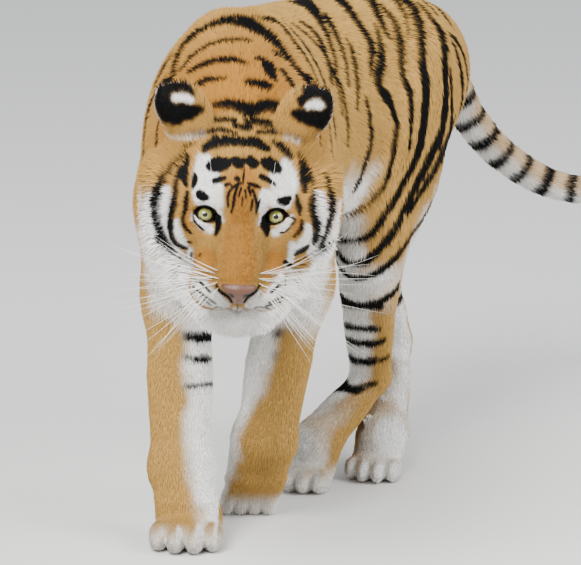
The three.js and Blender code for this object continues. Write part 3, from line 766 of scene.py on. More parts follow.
# ---- surfaces ---------------------------------------------------------------------------------
class Surface:
    """Points and triangles drawn on a field; level is zero on the surface."""

    def __init__(self, level: Callable[[Array], Array], axes: Sequence[Array]) -> None:
        """Args: level: the field. axes: grid places along x, y and z."""
        self.level = level
        self.axes = [np.asarray(a, float) for a in axes]
        values = self.sample()
        self.points, quads = self.nets(values)
        a, b, c, d = (self.points[quads[:, n]] for n in range(4))
        short = np.linalg.norm(a - c, axis=1) < np.linalg.norm(b - d, axis=1)
        first = np.where(short[:, None], quads[:, [0, 1, 2]], quads[:, [0, 1, 3]])
        second = np.where(short[:, None], quads[:, [0, 2, 3]], quads[:, [1, 2, 3]])
        self.faces = np.concatenate([first, second])

    def sample(self, block: int = 4, margin: float = 26.0) -> Array:
        """Field on the grid, exact in blocks near the surface and the block's own value elsewhere.

        Args:
            block: grid lines to a block.
            margin: a place is exact nearer to the surface than this and ten times block.

        Returns:
            Values on the grid, all of its rim outside.
        """
        counts = [len(a) for a in self.axes]
        index = [np.arange(n) // block for n in counts]
        middles = [np.array([a[i == k].mean() for k in range(i[-1] + 1)]) for a, i in zip(self.axes, index)]
        coarse = np.stack(np.meshgrid(*middles, indexing="ij"), axis=-1).reshape(-1, 3)
        coarse_values = self.level(coarse).reshape([len(m) for m in middles])
        values = coarse_values[np.ix_(*index)]
        near = np.argwhere(np.abs(values) < margin + block * 10)
        places = np.stack([a[near[:, n]] for n, a in enumerate(self.axes)], axis=1)
        values[tuple(near.T)] = self.level(places)
        for n in range(3):
            rim = [slice(None)] * 3
            for end in (0, -1):
                rim[n] = end
                values[tuple(rim)] = np.maximum(values[tuple(rim)], 1)
        return values

    def nets(self, values: Array) -> tuple[Array, Array]:
        """One point to each crossed cell, at the mean of its crossed edges, and a quad to each edge.

        Args:
            values: field on the grid.

        Returns:
            Points, and quads as four point numbers.
        """
        inside = values < 0
        counts = np.zeros(np.array(values.shape) - 1, np.uint8)
        corners = [np.array([n & 1, n >> 1 & 1, n >> 2 & 1]) for n in range(8)]
        nx, ny, nz = values.shape
        for i, j, k in corners:
            counts += inside[i:nx - 1 + i, j:ny - 1 + j, k:nz - 1 + k]
        cells = np.argwhere((counts > 0) & (counts < 8))
        ids = np.full(counts.shape, -1)
        ids[tuple(cells.T)] = np.arange(len(cells))
        total = np.zeros((len(cells), 3))
        crossed = np.zeros(len(cells))
        for start in corners:
            for axis in range(3):
                if start[axis]:
                    continue
                end = start.copy()
                end[axis] = 1
                a = values[tuple((cells + start).T)]
                b = values[tuple((cells + end).T)]
                cut = (a < 0) != (b < 0)
                t = np.where(cut, a / np.where(cut, a - b, 1), 0)
                low = np.stack([self.axes[n][cells[:, n] + start[n]] for n in range(3)], axis=1)
                high = np.stack([self.axes[n][cells[:, n] + end[n]] for n in range(3)], axis=1)
                place = low + t[:, None] * (high - low)
                total[cut] += place[cut]
                crossed[cut] += 1
        quads = []
        for axis in range(3):
            u, v = (axis + 1) % 3, (axis + 2) % 3
            here = [slice(None)] * 3
            there = [slice(None)] * 3
            here[axis] = slice(0, -1)
            there[axis] = slice(1, None)
            edge = np.argwhere(inside[tuple(here)] != inside[tuple(there)])
            ok = (edge[:, u] > 0) & (edge[:, v] > 0)
            ok &= (edge[:, u] < values.shape[u] - 1) & (edge[:, v] < values.shape[v] - 1)
            edge = edge[ok]
            du, dv = np.eye(3, dtype=int)[u], np.eye(3, dtype=int)[v]
            ring = [edge - du - dv, edge - dv, edge, edge - du]
            quad = np.stack([ids[tuple(r.T)] for r in ring], axis=1)
            flip = ~inside[tuple(edge.T)]
            quad[flip] = quad[flip][:, ::-1]
            quads.append(quad)
        return total / crossed[:, None], np.concatenate(quads)

    def refine(self, wanted: Callable[[Array], Array]) -> None:
        """Splits every edge longer than wanted at its middle; each triangle gives two to four.

        Args:
            wanted: gives the longest edge allowed at each place.
        """
        f = self.faces
        edges = np.sort(np.concatenate([f[:, [0, 1]], f[:, [1, 2]], f[:, [2, 0]]]), axis=1)
        pairs, which = np.unique(edges, axis=0, return_inverse=True)
        middle = self.points[pairs].mean(axis=1)
        long = np.linalg.norm(self.points[pairs[:, 0]] - self.points[pairs[:, 1]], axis=1) > wanted(middle)
        new_id = np.full(len(pairs), -1)
        new_id[long] = len(self.points) + np.arange(long.sum())
        self.points = np.concatenate([self.points, middle[long]])
        m = new_id[which.reshape(-1)].reshape(3, -1).T
        marked = (m >= 0).sum(axis=1)
        out = [f[marked == 0]]
        for count in (1, 2):
            for turn in range(3):
                order = [turn, (turn + 1) % 3, (turn + 2) % 3]
                mm, ff = m[:, order], f[:, order]
                if count == 1:
                    pick = (marked == 1) & (mm[:, 0] >= 0)
                    a, b, c, p = ff[pick, 0], ff[pick, 1], ff[pick, 2], mm[pick, 0]
                    out += [np.stack([a, p, c], 1), np.stack([p, b, c], 1)]
                else:
                    pick = (marked == 2) & (mm[:, 2] < 0)
                    a, b, c = ff[pick, 0], ff[pick, 1], ff[pick, 2]
                    p, q = mm[pick, 0], mm[pick, 1]
                    out += [np.stack([p, b, q], 1), np.stack([a, p, q], 1), np.stack([a, q, c], 1)]
        pick = marked == 3
        (a, b, c), (p, q, r) = f[pick].T, m[pick].T
        out += [np.stack(t, 1) for t in ((a, p, r), (p, b, q), (r, q, c), (p, q, r))]
        self.faces = np.concatenate(out)

    def slope(self, points: Array, e: float = 0.7) -> tuple[Array, Array]:
        """Field and its gradient by forward differences of e."""
        d = self.level(points)
        g = np.stack([(self.level(points + np.eye(3)[n] * e) - d) / e for n in range(3)], axis=1)
        return d, g

    def project(self, rounds: int = 2, reach: float = 4.0, first: int = 0) -> None:
        """Newton steps of the points from the first one on onto the surface, each at most reach long.

        Args:
            rounds: how many steps.
            reach: longest step, millimetres.
            first: number of the first point moved.
        """
        ids = np.arange(first, len(self.points))
        for _ in range(rounds):
            p = self.points[ids]
            d, g = self.slope(p)
            square = np.sum(g * g, axis=1)
            move = np.clip(d / np.maximum(np.sqrt(square), 0.3), -reach, reach)
            self.points[ids] = p - (move / np.sqrt(square + 1e-9))[:, None] * g

    def relax(self, amounts: Sequence[float], share: Array) -> None:
        """Moves points towards (or, if negative, from) the mean of their neighbours.

        Args:
            amounts: one pass each, as a share of the way.
            share: how much each point takes part.
        """
        f = self.faces
        pairs = np.unique(np.sort(np.concatenate([f[:, [0, 1]], f[:, [1, 2]], f[:, [2, 0]]]), axis=1), axis=0)
        count = np.bincount(pairs.ravel(), minlength=len(self.points))[:, None]
        for amount in amounts:
            mean = np.zeros_like(self.points)
            for n in range(3):
                mean[:, n] = np.bincount(pairs[:, 0], self.points[pairs[:, 1], n], len(self.points))
                mean[:, n] += np.bincount(pairs[:, 1], self.points[pairs[:, 0], n], len(self.points))
            mean /= np.maximum(count, 1)
            self.points += (amount * share)[:, None] * (mean - self.points)

    def normals(self) -> Array:
        """Outward normal at each point: the mean of its faces' cross products.

        Returns:
            Unit vectors, one to each point.
        """
        a, b, c = (self.points[self.faces[:, n]] for n in range(3))
        cross = np.cross(b - a, c - a)
        out = np.zeros_like(self.points)
        for n in range(3):
            for corner in range(3):
                out[:, n] += np.bincount(self.faces[:, corner], cross[:, n], len(self.points))
        return unit(out)


# ---- markings ---------------------------------------------------------------------------------
# Strokes of the face: each point is across to the left, up and half width, in the plane square to the
# way the face looks, in millimetres from midway between the eyes.
FACE_BLACK = (
    ((-68, 111, 7.3), (-58, 121, 11.2), (-41, 127, 12.3), (-18, 128, 10.1), (4, 128, 11.2),
     (26, 126, 11.2), (44, 117, 7.8)),
    ((51, 131, 3), (64, 125, 7), (78, 114, 8), (89, 102, 4)),
    ((-87, 123, 2.5), (-98, 118, 3.5), (-107, 113, 2.5)),
    ((-54, 83, 11), (-43, 85, 15), (-30, 87, 12)),
    ((43, 92, 11), (53, 87, 15), (65, 81, 9)),
    ((-12, 93, 9.1), (-6, 88, 11.7)),
    ((14, 94, 10.4), (20, 88, 10.4)),
    ((2, 104, 2), (3, 76, 2.5), (2, 51, 2)),
    ((-49, 55, 6), (-39, 58, 6.5), (-31, 61, 4)),
    ((-10, 61, 4.5), (-7, 59, 4.5)),
    ((34, 66, 5), (45, 61, 6), (61, 51, 3)),
    ((-74, 31, 8), (-68, 27, 9), (-61, 24, 5)),
    ((69, 23, 7), (78, 24, 9), (87, 29, 5)),
    ((-84, 66, 4.5), (-84, 53, 6.5), (-87, 42, 3.6)),
    ((-97, 101, 4), (-100, 87, 6.5), (-103, 73, 8), (-102, 60, 7.5), (-98, 46, 4)),
    ((-96, 34, 4), (-98, 20, 6), (-99, 4, 5.5), (-103, -16, 4), (-96, -31, 4), (-86, -40, 2.5)),
    ((105, 93, 5), (110, 77, 8), (113, 61, 9), (114, 45, 6)),
    ((99, 35, 4), (103, 18, 6), (107, 2, 4)),
    ((110, -11, 4.5), (109, -26, 5), (98, -38, 3)),
    ((100, 112, 3), (121, 84, 5), (133, 47, 5), (129, 24, 7)),
    ((-103, 106, 3), (-131, 78, 6), (-149, 42, 8), (-156, 11, 8), (-150, -21, 7.5), (-135, -53, 7),
     (-113, -74, 3)),
    ((-112, 80, 3.5), (-117, 53, 5.5), (-118, 32, 6.5), (-121, 10, 6.5), (-124, -12, 6.5), (-123, -39, 6),
     (-113, -58, 6), (-94, -67, 3.2)),
    ((153, 79, 3.5), (163, 47, 5.5), (168, 11, 6.5), (162, -24, 6.5), (149, -56, 4.5)),
    ((-92, -55, 2.5), (-86, -56, 2)),
    ((133, 47, 3), (129, 24, 6.9), (133, 1, 7), (140, -20, 8), (138, -47, 6.4)),
    ((123, -57, 5.7), (110, -65, 7.1), (101, -71, 3.6)),
    ((-155, -39, 2.1), (-141, -59, 3.5), (-120, -76, 3.2), (-97, -86, 1.5)),
    ((187, -19, 2.1), (174, -48, 2.6), (139, -71, 2.8)),
    ((-40, -11, 6.9), (-39, -21, 6.4), (-43, -39, 4)),
    ((47, -8, 4.8), (45, -18, 10.2), (48, -38, 4)),
    ((-74, 2, 2), (-84, -5, 2.5), (-81, -18, 2.5), (-70, -29, 2.5), (-64, -33, 2)),
    ((80, -1, 2.8), (97, -8, 2.5), (92, -18, 2.5), (82, -30, 2), (72, -33, 2)),
    ((-3, 52, 3.1), (-16, 44, 3.1), (-24, 30, 3.1), (-23, 10, 2.4)),
    ((-7, 48, 2.4), (-12, 31, 3.1), (-15, 6, 2.4)),
    ((-1, 44, 2.4), (-5, 29, 2.4)),
    ((-28, 48, 3.8), (-22, 50, 3.1), (-17, 46, 2.4)),
    ((11, 53, 3.1), (24, 49, 4.5), (32, 46, 3.1)),
    ((12, 46, 3.1), (16, 32, 2.4)),
    ((19, 41, 3.1), (26, 25, 3.1), (28, 6, 2.4)),
    ((6, 40, 2.4), (8, 27, 2.4)),
    ((2, 27, 1.9), (1, 13, 1.6)),
    ((20, 23, 2.4), (18, 5, 2.4)),
    ((-11, 22, 2.4), (-17, 0, 2.4)),
    ((33, 24, 2.4), (27, 0, 2.4)),
    ((-79, -120, 3.5), (-67, -126, 3), (-50, -142, 2.5)),
    ((-80, -134, 2.5), (-59, -150, 2.1), (-39, -163, 1.5)),
    ((-66, -152, 2), (-48, -166, 1.6)),
    ((-85, -75, 3), (-87, -91, 2.5)),
    ((-80, -93, 2.6), (-82, -104, 2.8)),
    ((-71, -79, 2), (-69, -75, 2)),
    ((83, -85, 4.3), (96, -91, 4.8)),
    ((78, -121, 3.5), (58, -139, 2.5)),
    ((86, -107, 3.6), (83, -125, 2.6)),
    ((93, -140, 2.9), (55, -158, 2.1)),
    ((82, -154, 2), (50, -164, 2)),
    ((-40, -130, 3), (-32, -141, 3.6), (-18, -150, 3.6), (-10, -158, 3.6), (-4, -172, 3.4)),
    ((37, -128, 3), (30, -139, 3.6), (17, -149, 3.6), (10, -158, 3.6), (4, -172, 3.4)),
    ((2, -178, 2), (-17, -176, 2), (-35, -169, 1.5), (-50, -178, 1.5)),
    ((2, -178, 2), (21, -174, 2), (41, -166, 1.5), (77, -175, 1.5)),
    ((-49, 195, 8.2), (-31, 197, 10.5), (-9, 194, 12.8), (12, 187, 16.8), (30, 193, 12.8),
     (52, 195, 11.1), (72, 183, 7.1), (86, 173, 3.8)),
    ((27, 203, 3.7), (49, 206, 4.5), (67, 202, 4.9), (82, 189, 3.3)),
    ((-84, 158, 2.8), (-67, 162, 5.5), (-45, 167, 7.6), (-16, 167, 5.6)),
    ((-14, 157, 6.3), (3, 154, 8), (12, 153, 6.3)),
    ((7, 167, 6.8), (27, 165, 8.7), (48, 163, 8.4), (69, 158, 5.5), (91, 150, 2.8)),
    ((-91, 141, 6), (-73, 144, 7.1), (-52, 148, 6.5), (-30, 148, 5.6), (-12, 144, 3.3)),
    ((27, 146, 4.4), (48, 148, 6), (73, 146, 6), (95, 141, 5.5), (109, 138, 4.9)),
    ((-112, 144, 9.2), (-98, 145, 9.2)),
    ((109, 140, 10.3), (120, 142, 9.2)),
)
FACE_WHITE = (
    ((-68, 90, 14), (-76, 60, 11), (-72, 29, 15), (-55, 20, 16), (-47, 43, 13), (-40, 12, 9)),
    ((-57, 74, 15), (-56, 47, 17)),
    ((77, 88, 12), (86, 62, 15), (82, 35, 16), (69, 16, 11), (42, 33, 11), (39, 8, 8)),
    ((59, 69, 11), (68, 47, 15)),
    ((-83, -9, 5), (-70, -22, 7.5), (-53, -32, 6.5)),
    ((90, -5, 5), (80, -21, 7), (63, -33, 6.5)),
    ((-38, -1, 4), (-34, -14, 4)),
    ((38, -3, 4), (36, -16, 4)),
    ((-136, 37, 7.1), (-138, 1, 11), (-138, -26, 11), (-125, -56, 11), (-104, -82, 11)),
    ((-114, -18, 4.5), (-113, -34, 7.3), (-99, -60, 7.4)),
    ((-162, 19, 10), (-163, -17, 17), (-152, -52, 17), (-131, -83, 19), (-106, -104, 21)),
    ((144, 38, 6.8), (148, 7, 9), (151, -24, 10), (138, -60, 13)),
    ((121, -20, 5), (122, -39, 10), (104, -60, 9)),
    ((189, 18, 14), (187, -19, 14), (175, -57, 16), (153, -90, 24)),
    ((-143, -105, 25), (-128, -143, 28), (-98, -179, 25)),
    ((173, -90, 28), (167, -132, 36), (140, -171, 26)),
    ((-75, -122, 7), (-66, -139, 17), (-48, -157, 14), (-26, -169, 8)),
    ((78, -112, 10), (74, -134, 17), (55, -155, 17), (32, -166, 8)),
    ((-26, -185, 12), (2, -190, 15), (28, -183, 12)),
    ((-39, -143, 5), (-26, -160, 7), (-14, -172, 8)),
    ((34, -140, 5), (27, -158, 10), (14, -172, 8)),
    ((-30, -176, 6), (30, -176, 6)),
    ((-152, 139, 4), (-125, 132, 4), (-94, 135, 3), (-68, 141, 2)),
    ((75, 141, 2), (102, 133, 3)),
    ((-89, -69, 5), (-86, -100, 6.8)),
    ((95, -54, 6), (93, -93, 7.8)),
)
FACE_WARM = (
    ((-2, -4, 22), (-2, -58, 30), (-1, -102, 31), (0, -124, 20)),
    ((-92, -7, 10), (-92, -25, 8)),
    ((102, -9, 8), (100, -27, 7)),
    ((-60, -86, 22), (-55, -117, 12)),
    ((64, -81, 20), (60, -113, 12)),
    ((2, 31, 30), (1, 58, 25)),
    ((-42, 36, 4), (-43, 16, 4)),
    ((47, 37, 4), (49, 22, 4)),
)
EAR_BLACK = (
    ((-78, 182, 6), (-96, 177, 10), (-117, 170, 11), (-135, 173, 10), (-146, 187, 10), (-148, 205, 10),
     (-140, 217, 27), (-124, 222, 9), (-108, 220, 8), (-95, 211, 6.4)),
    ((-117, 181, 9), (-96, 180, 8)),
    ((91, 181, 5.6), (105, 178, 10), (123, 175, 11), (141, 177, 12), (150, 189, 12), (152, 205, 30),
     (147, 217, 25), (133, 223, 5.7)),
)
EAR_WHITE = (
    ((-122, 200, 9), (-109, 202, 10), (-95, 198, 8)),
    ((113, 194, 7.2), (125, 198, 10), (135, 195, 8)),
)
# bars of the flank, each row: length along the back, way round from the back, half width; left is plus
BARS = (
    ((1088, 51, 13), (1008, 217, 12), (1000, 272, 15), (954, 390, 11), (907, 446, 9), (758, 566, 6)),
    ((1113, 73, 9), (1101, 115, 9), (1107, 142, 13), (1103, 174, 13), (1083, 237, 11), (1071, 327, 13),
     (1037, 390, 15), (998, 415, 13), (869, 527, 9), (784, 582, 8), (760, 619, 6)),
    ((1059, 48, 8), (998, 156, 3)),
    ((1000, 61, 6), (972, 151, 10), (932, 240, 10), (939, 295, 10), (909, 408, 4)),
    ((992, 36, 13), (952, 95, 11), (936, 145, 8), (940, 156, 4)),
    ((916, 115, 5), (861, 197, 15), (807, 245, 15), (805, 267, 15), (847, 299, 15), (870, 334, 10),
     (870, 359, 10), (833, 450, 6), (798, 486, 4), (774, 498, 5)),
    ((723, 283, 7), (744, 379, 13), (732, 400, 12), (729, 442, 13)),
    ((906, 19, 14), (858, 85, 15), (836, 164, 14), (774, 233, 5)),
    ((747, 140, 5), (727, 191, 10), (662, 295, 8)),
    ((761, 67, 7), (726, 103, 9), (644, 245, 7)),
    ((747, 24, 15), (607, 202, 7), (598, 235, 8), (597, 360, 7)),
    ((612, 77, 10), (616, 120, 11), (551, 228, 7)),
    ((1101, 244, 5), (1104, 306, 7), (1122, 358, 15), (1106, 386, 15), (881, 537, 5)),
    ((1148, 173, 8), (1172, 243, 15), (1204, 275, 15)),
    ((1150, 152, 7), (1200, 157, 15), (1257, 194, 15)),
    ((1015, 517, 5), (952, 559, 5), (852, 593, 7), (800, 623, 9), (778, 649, 8)),
    ((877, 671, 8), (819, 708, 8), (841, 716, 5)),
    ((273, -126, 7), (329, -71, 10), (352, -10, 12), (338, 17, 15), (308, 43, 15), (269, 109, 11),
     (279, 156, 15)),
    ((323, -83, 7), (327, -52, 6), (373, -9, 7), (372, 5, 7), (340, 26, 8)),
    ((242, -104, 8), (260, -63, 10), (261, 11, 8)),
    ((194, -82, 9), (173, -22, 12), (147, 7, 6)),
    ((116, -77, 15), (116, -58, 12), (90, -17, 5)),
    ((183, 40, 14), (173, 48, 15), (125, 50, 12)),
    ((71, 23, 15), (89, 41, 9)),
    ((257, 63, 10), (260, 85, 6)),
    ((378, 18, 4), (382, 31, 5), (403, 46, 10), (374, 73, 10), (363, 98, 12), (342, 174, 8)),
    ((815, -8, 15), (703, 81, 12), (659, 136, 7)),
    ((757, 12, 15), (750, 28, 15)),
    ((761, 67, 8), (726, 103, 12), (684, 177, 8)),
    ((189, 90, 15), (173, 112, 15)),
    ((859, 763, 5), (846, 762, 6), (851, 758, 5)),
    ((859, 790, 5), (858, 796, 6), (868, 794, 7), (880, 785, 6)),
    ((875, 829, 7), (873, 837, 6), (880, 835, 5)),
    ((890, 829, 5), (910, 824, 5)),
    ((864, 892, 5), (858, 896, 5), (894, 880, 6)),
    ((520, 60, 8), (505, 200, 9), (500, 330, 8)),
    ((455, 80, 6), (440, 220, 8), (450, 320, 5)),
    ((1150, 330, 10), (1120, 420, 12), (1050, 500, 10), (960, 560, 6)),
    ((1160, 450, 9), (1110, 530, 11), (1030, 590, 9)),
    ((1120, 600, 8), (1060, 640, 10), (1010, 670, 6)),
    ((1090, 720, 7), (1040, 740, 9), (990, 750, 5)),
    ((1095, -50, 5), (1112, 15, 8), (1090, 70, 5)),
    ((1150, -95, 6), (1172, 0, 10), (1145, 95, 6)),
    ((1205, -110, 6), (1228, 0, 10), (1200, 110, 6)),
    ((560, 70, 5), (585, 180, 8), (570, 300, 5)),
    ((300, 150, 5), (330, 250, 8), (320, 360, 4)),
    ((215, 170, 4), (238, 260, 7), (225, 350, 4)),
)


def between_forelegs(points: Array) -> Array:
    """The x that parts the right foreleg from the left one at each height."""
    return np.interp(points[:, 2], (0, 165, 460), (-40, -30, 0))


def covered_by(chains: Sequence[Array], points: Array, soft: float, wander: Array) -> Array:
    """How far each place is covered by chains of points with half widths, 0 to 1.

    Args:
        chains: rows of a point and its half width, joined one after the other.
        points: places, as wide as a chain's points.
        soft: half width of the fading edge.
        wander: factor on the half width at each place.

    Returns:
        The largest cover by any chain: 1 inside, fading over soft at half width from the chain.
    """
    out = np.zeros(len(points))
    for chain in chains:
        margin = chain[:, -1].max() * 1.5 + soft
        near = within(points, chain[:, :-1].min(axis=0) - margin, chain[:, :-1].max(axis=0) + margin)
        if not len(near):
            continue
        p = points[near]
        best = np.full(len(near), FAR)
        for a, b in zip(chain, chain[1:]):
            ab = b[:-1] - a[:-1]
            t = np.clip((p - a[:-1]) @ ab / max(ab @ ab, 1e-9), 0, 1)
            gap = np.linalg.norm(p - a[:-1] - t[:, None] * ab, axis=1)
            best = np.minimum(best, gap - (a[-1] + (b[-1] - a[-1]) * t) * wander[near])
        out[near] = np.maximum(out[near], step(soft, -soft, best))
    return out


def laid(across: Array, high: Array, body: "Body") -> Array:
    """Head places reached on the skin from points of the plane in front of the face, looking at it.

    Args:
        across: to the left in the plane.
        high: up in the plane.
        body: the animal.

    Returns:
        n by 3 head places.
    """
    head = body.head
    start = across[:, None] * np.array([1.0, 0, 0]) + high[:, None] * head.face_up + 330 * head.facing
    way = head.matrix @ -head.facing
    place = head.to_body(start)
    travelled = np.zeros(len(start))
    for _ in range(40):
        q = head.to_head(place)
        fluff = 2.0 + 13 * step(104, 140, np.abs(q[:, 0])) * step(-10, 70, q[:, 1])
        d = body.level(place) - fluff
        move = np.where(d > 0.6, np.clip(0.8 * d, 0.5, 60), 0)
        move = np.minimum(move, 480 - travelled)
        travelled += move
        place = place + move[:, None] * way
    return head.to_head(place)


class Strokes:
    """Strokes drawn in front of the head and laid on its surface, as chains of points with half widths."""

    def __init__(self, table: Sequence, body: "Body") -> None:
        """Args: table: strokes in the plane of the face. body: the surface they are laid on."""
        fine = [smooth_rows(np.asarray(rows, float)) for rows in table]
        rows = np.concatenate(fine)
        self.head = body.head
        place = self.plane(laid(rows[:, 0], rows[:, 1], body), body.head)
        ends = np.cumsum([len(f) for f in fine])
        self.chains = []
        for f, e in zip(fine, ends):
            p = place[e - len(f):e]
            fall = np.where(p[:, 1] < -110, 6.0, 45.0)  # no stroke leaps from the muzzle to the throat
            p[:, 2] = np.maximum(p[:, 2], p[:, 2].max() - fall)
            wider = 1 + 0.3 * step(110, 135, np.abs(p[:, 0]))
            self.chains.append(np.column_stack([p, f[:, 2] * wider]))

    @staticmethod
    def plane(q: Array, head: "Head") -> Array:
        """Head places as right, up and depth seen along the face, the depth counting less."""
        return np.stack([q[:, 0], q @ head.face_up, 0.3 * (q @ head.facing)], axis=1)

    def cover(self, q: Array, soft: float, size: float = 1.0) -> Array:
        """How far each head place is covered by a stroke, 0 to 1; size widens all strokes."""
        return covered_by(self.chains, self.plane(q, self.head), soft, size * (1 + 0.2 * noise(q, 7.0, 3)))


class Spine:
    """Line of the back, from the nape to the root of the tail."""

    def __init__(self) -> None:
        """Joins the rows of neck and trunk into one line."""
        rows = Sweep((NECK[0], NECK[1], NECK[2], NECK[3], *TRUNK[2:]), 0).rows
        self.rows = rows
        gap = np.linalg.norm(np.diff(rows[:, :2], axis=0), axis=1)
        self.length = np.concatenate([[0], np.cumsum(gap)])
        self.top = rows[:, 2] + rows[:, 4]

    def place(self, points: Array) -> tuple[Array, Array, Array]:
        """Length along the back, way out to the left, and drop below the back, of each body place.

        Args:
            points: n by 3 body places, millimetres.

        Returns:
            Three arrays of n.
        """
        best = np.full(len(points), 1e12)
        along = np.zeros(len(points))
        out = np.zeros(len(points))
        flat = points[:, :2]
        for k, (a, b) in enumerate(zip(self.rows[:, :2], self.rows[1:, :2])):
            size = self.length[k + 1] - self.length[k]
            way = (b - a) / size
            p = flat - a
            low = -1e4 if k == 0 else 0.0
            t = np.clip(p @ way, low, size if k < len(self.rows) - 2 else 1e4)
            gap = np.sum((p - t[:, None] * way) ** 2, axis=1)
            nearer = gap < best
            best[nearer] = gap[nearer]
            along[nearer] = self.length[k] + t[nearer]
            out[nearer] = (p @ np.array([way[1], -way[0]]))[nearer]
        drop = np.interp(along, self.length, self.top) - points[:, 2]
        return along, out, np.maximum(drop, 0)

    def way(self, along: Array) -> Array:
        """Direction of the back at each length along it."""
        steps = unit(np.diff(self.rows[:, :3], axis=0))
        middles = (self.length[1:] + self.length[:-1]) / 2
        return unit(np.stack([np.interp(along, middles, steps[:, n]) for n in range(3)], axis=1))


class Bars:
    """The dark bars of back, flanks and thighs, laid out along the back and round from it."""

    def __init__(self) -> None:
        """Smooths the table."""
        self.chains = [smooth_rows(np.asarray(rows, float)) for rows in BARS]

    def cover(self, along: Array, out: Array, drop: Array, soft: float) -> Array:
        """How far each place is covered, 0 to 1.

        The way round from the back is the drop plus 0.6 of the way out, on the legs the drop alone.  The
        right flank carries the left one's bars over again, shifted and swayed; over the back they cross as
        they are.

        Args:
            along, out, drop: the place by the line of the back.
            soft: half width of the fading edge.

        Returns:
            One value to each place.
        """
        wide = np.abs(out) + step(380, 520, drop) * (180 - np.abs(out))
        round_back = np.sign(out) * (drop + 0.6 * wide)
        flat = np.stack([along, round_back], axis=1)
        sway = np.stack([along, round_back, np.zeros_like(along)], axis=1)
        wander = 1.15 + 0.18 * noise(sway, 11.0, 5)
        total = covered_by(self.chains, flat, soft, wander)
        start = np.where(along > 430, 20.0, 90.0)
        right = np.flatnonzero(round_back < -start)
        if len(right):
            other = np.stack([along + 24, -round_back], axis=1)[right]
            other += np.stack([16 * noise(sway[right], 110.0, 40 + n) for n in range(2)], axis=1)
            fade = step(0, 50, -round_back[right] - start[right])
            again = fade * covered_by(self.chains, other, soft, wander[right])
            total[right] = np.maximum(total[right], again)
        return total


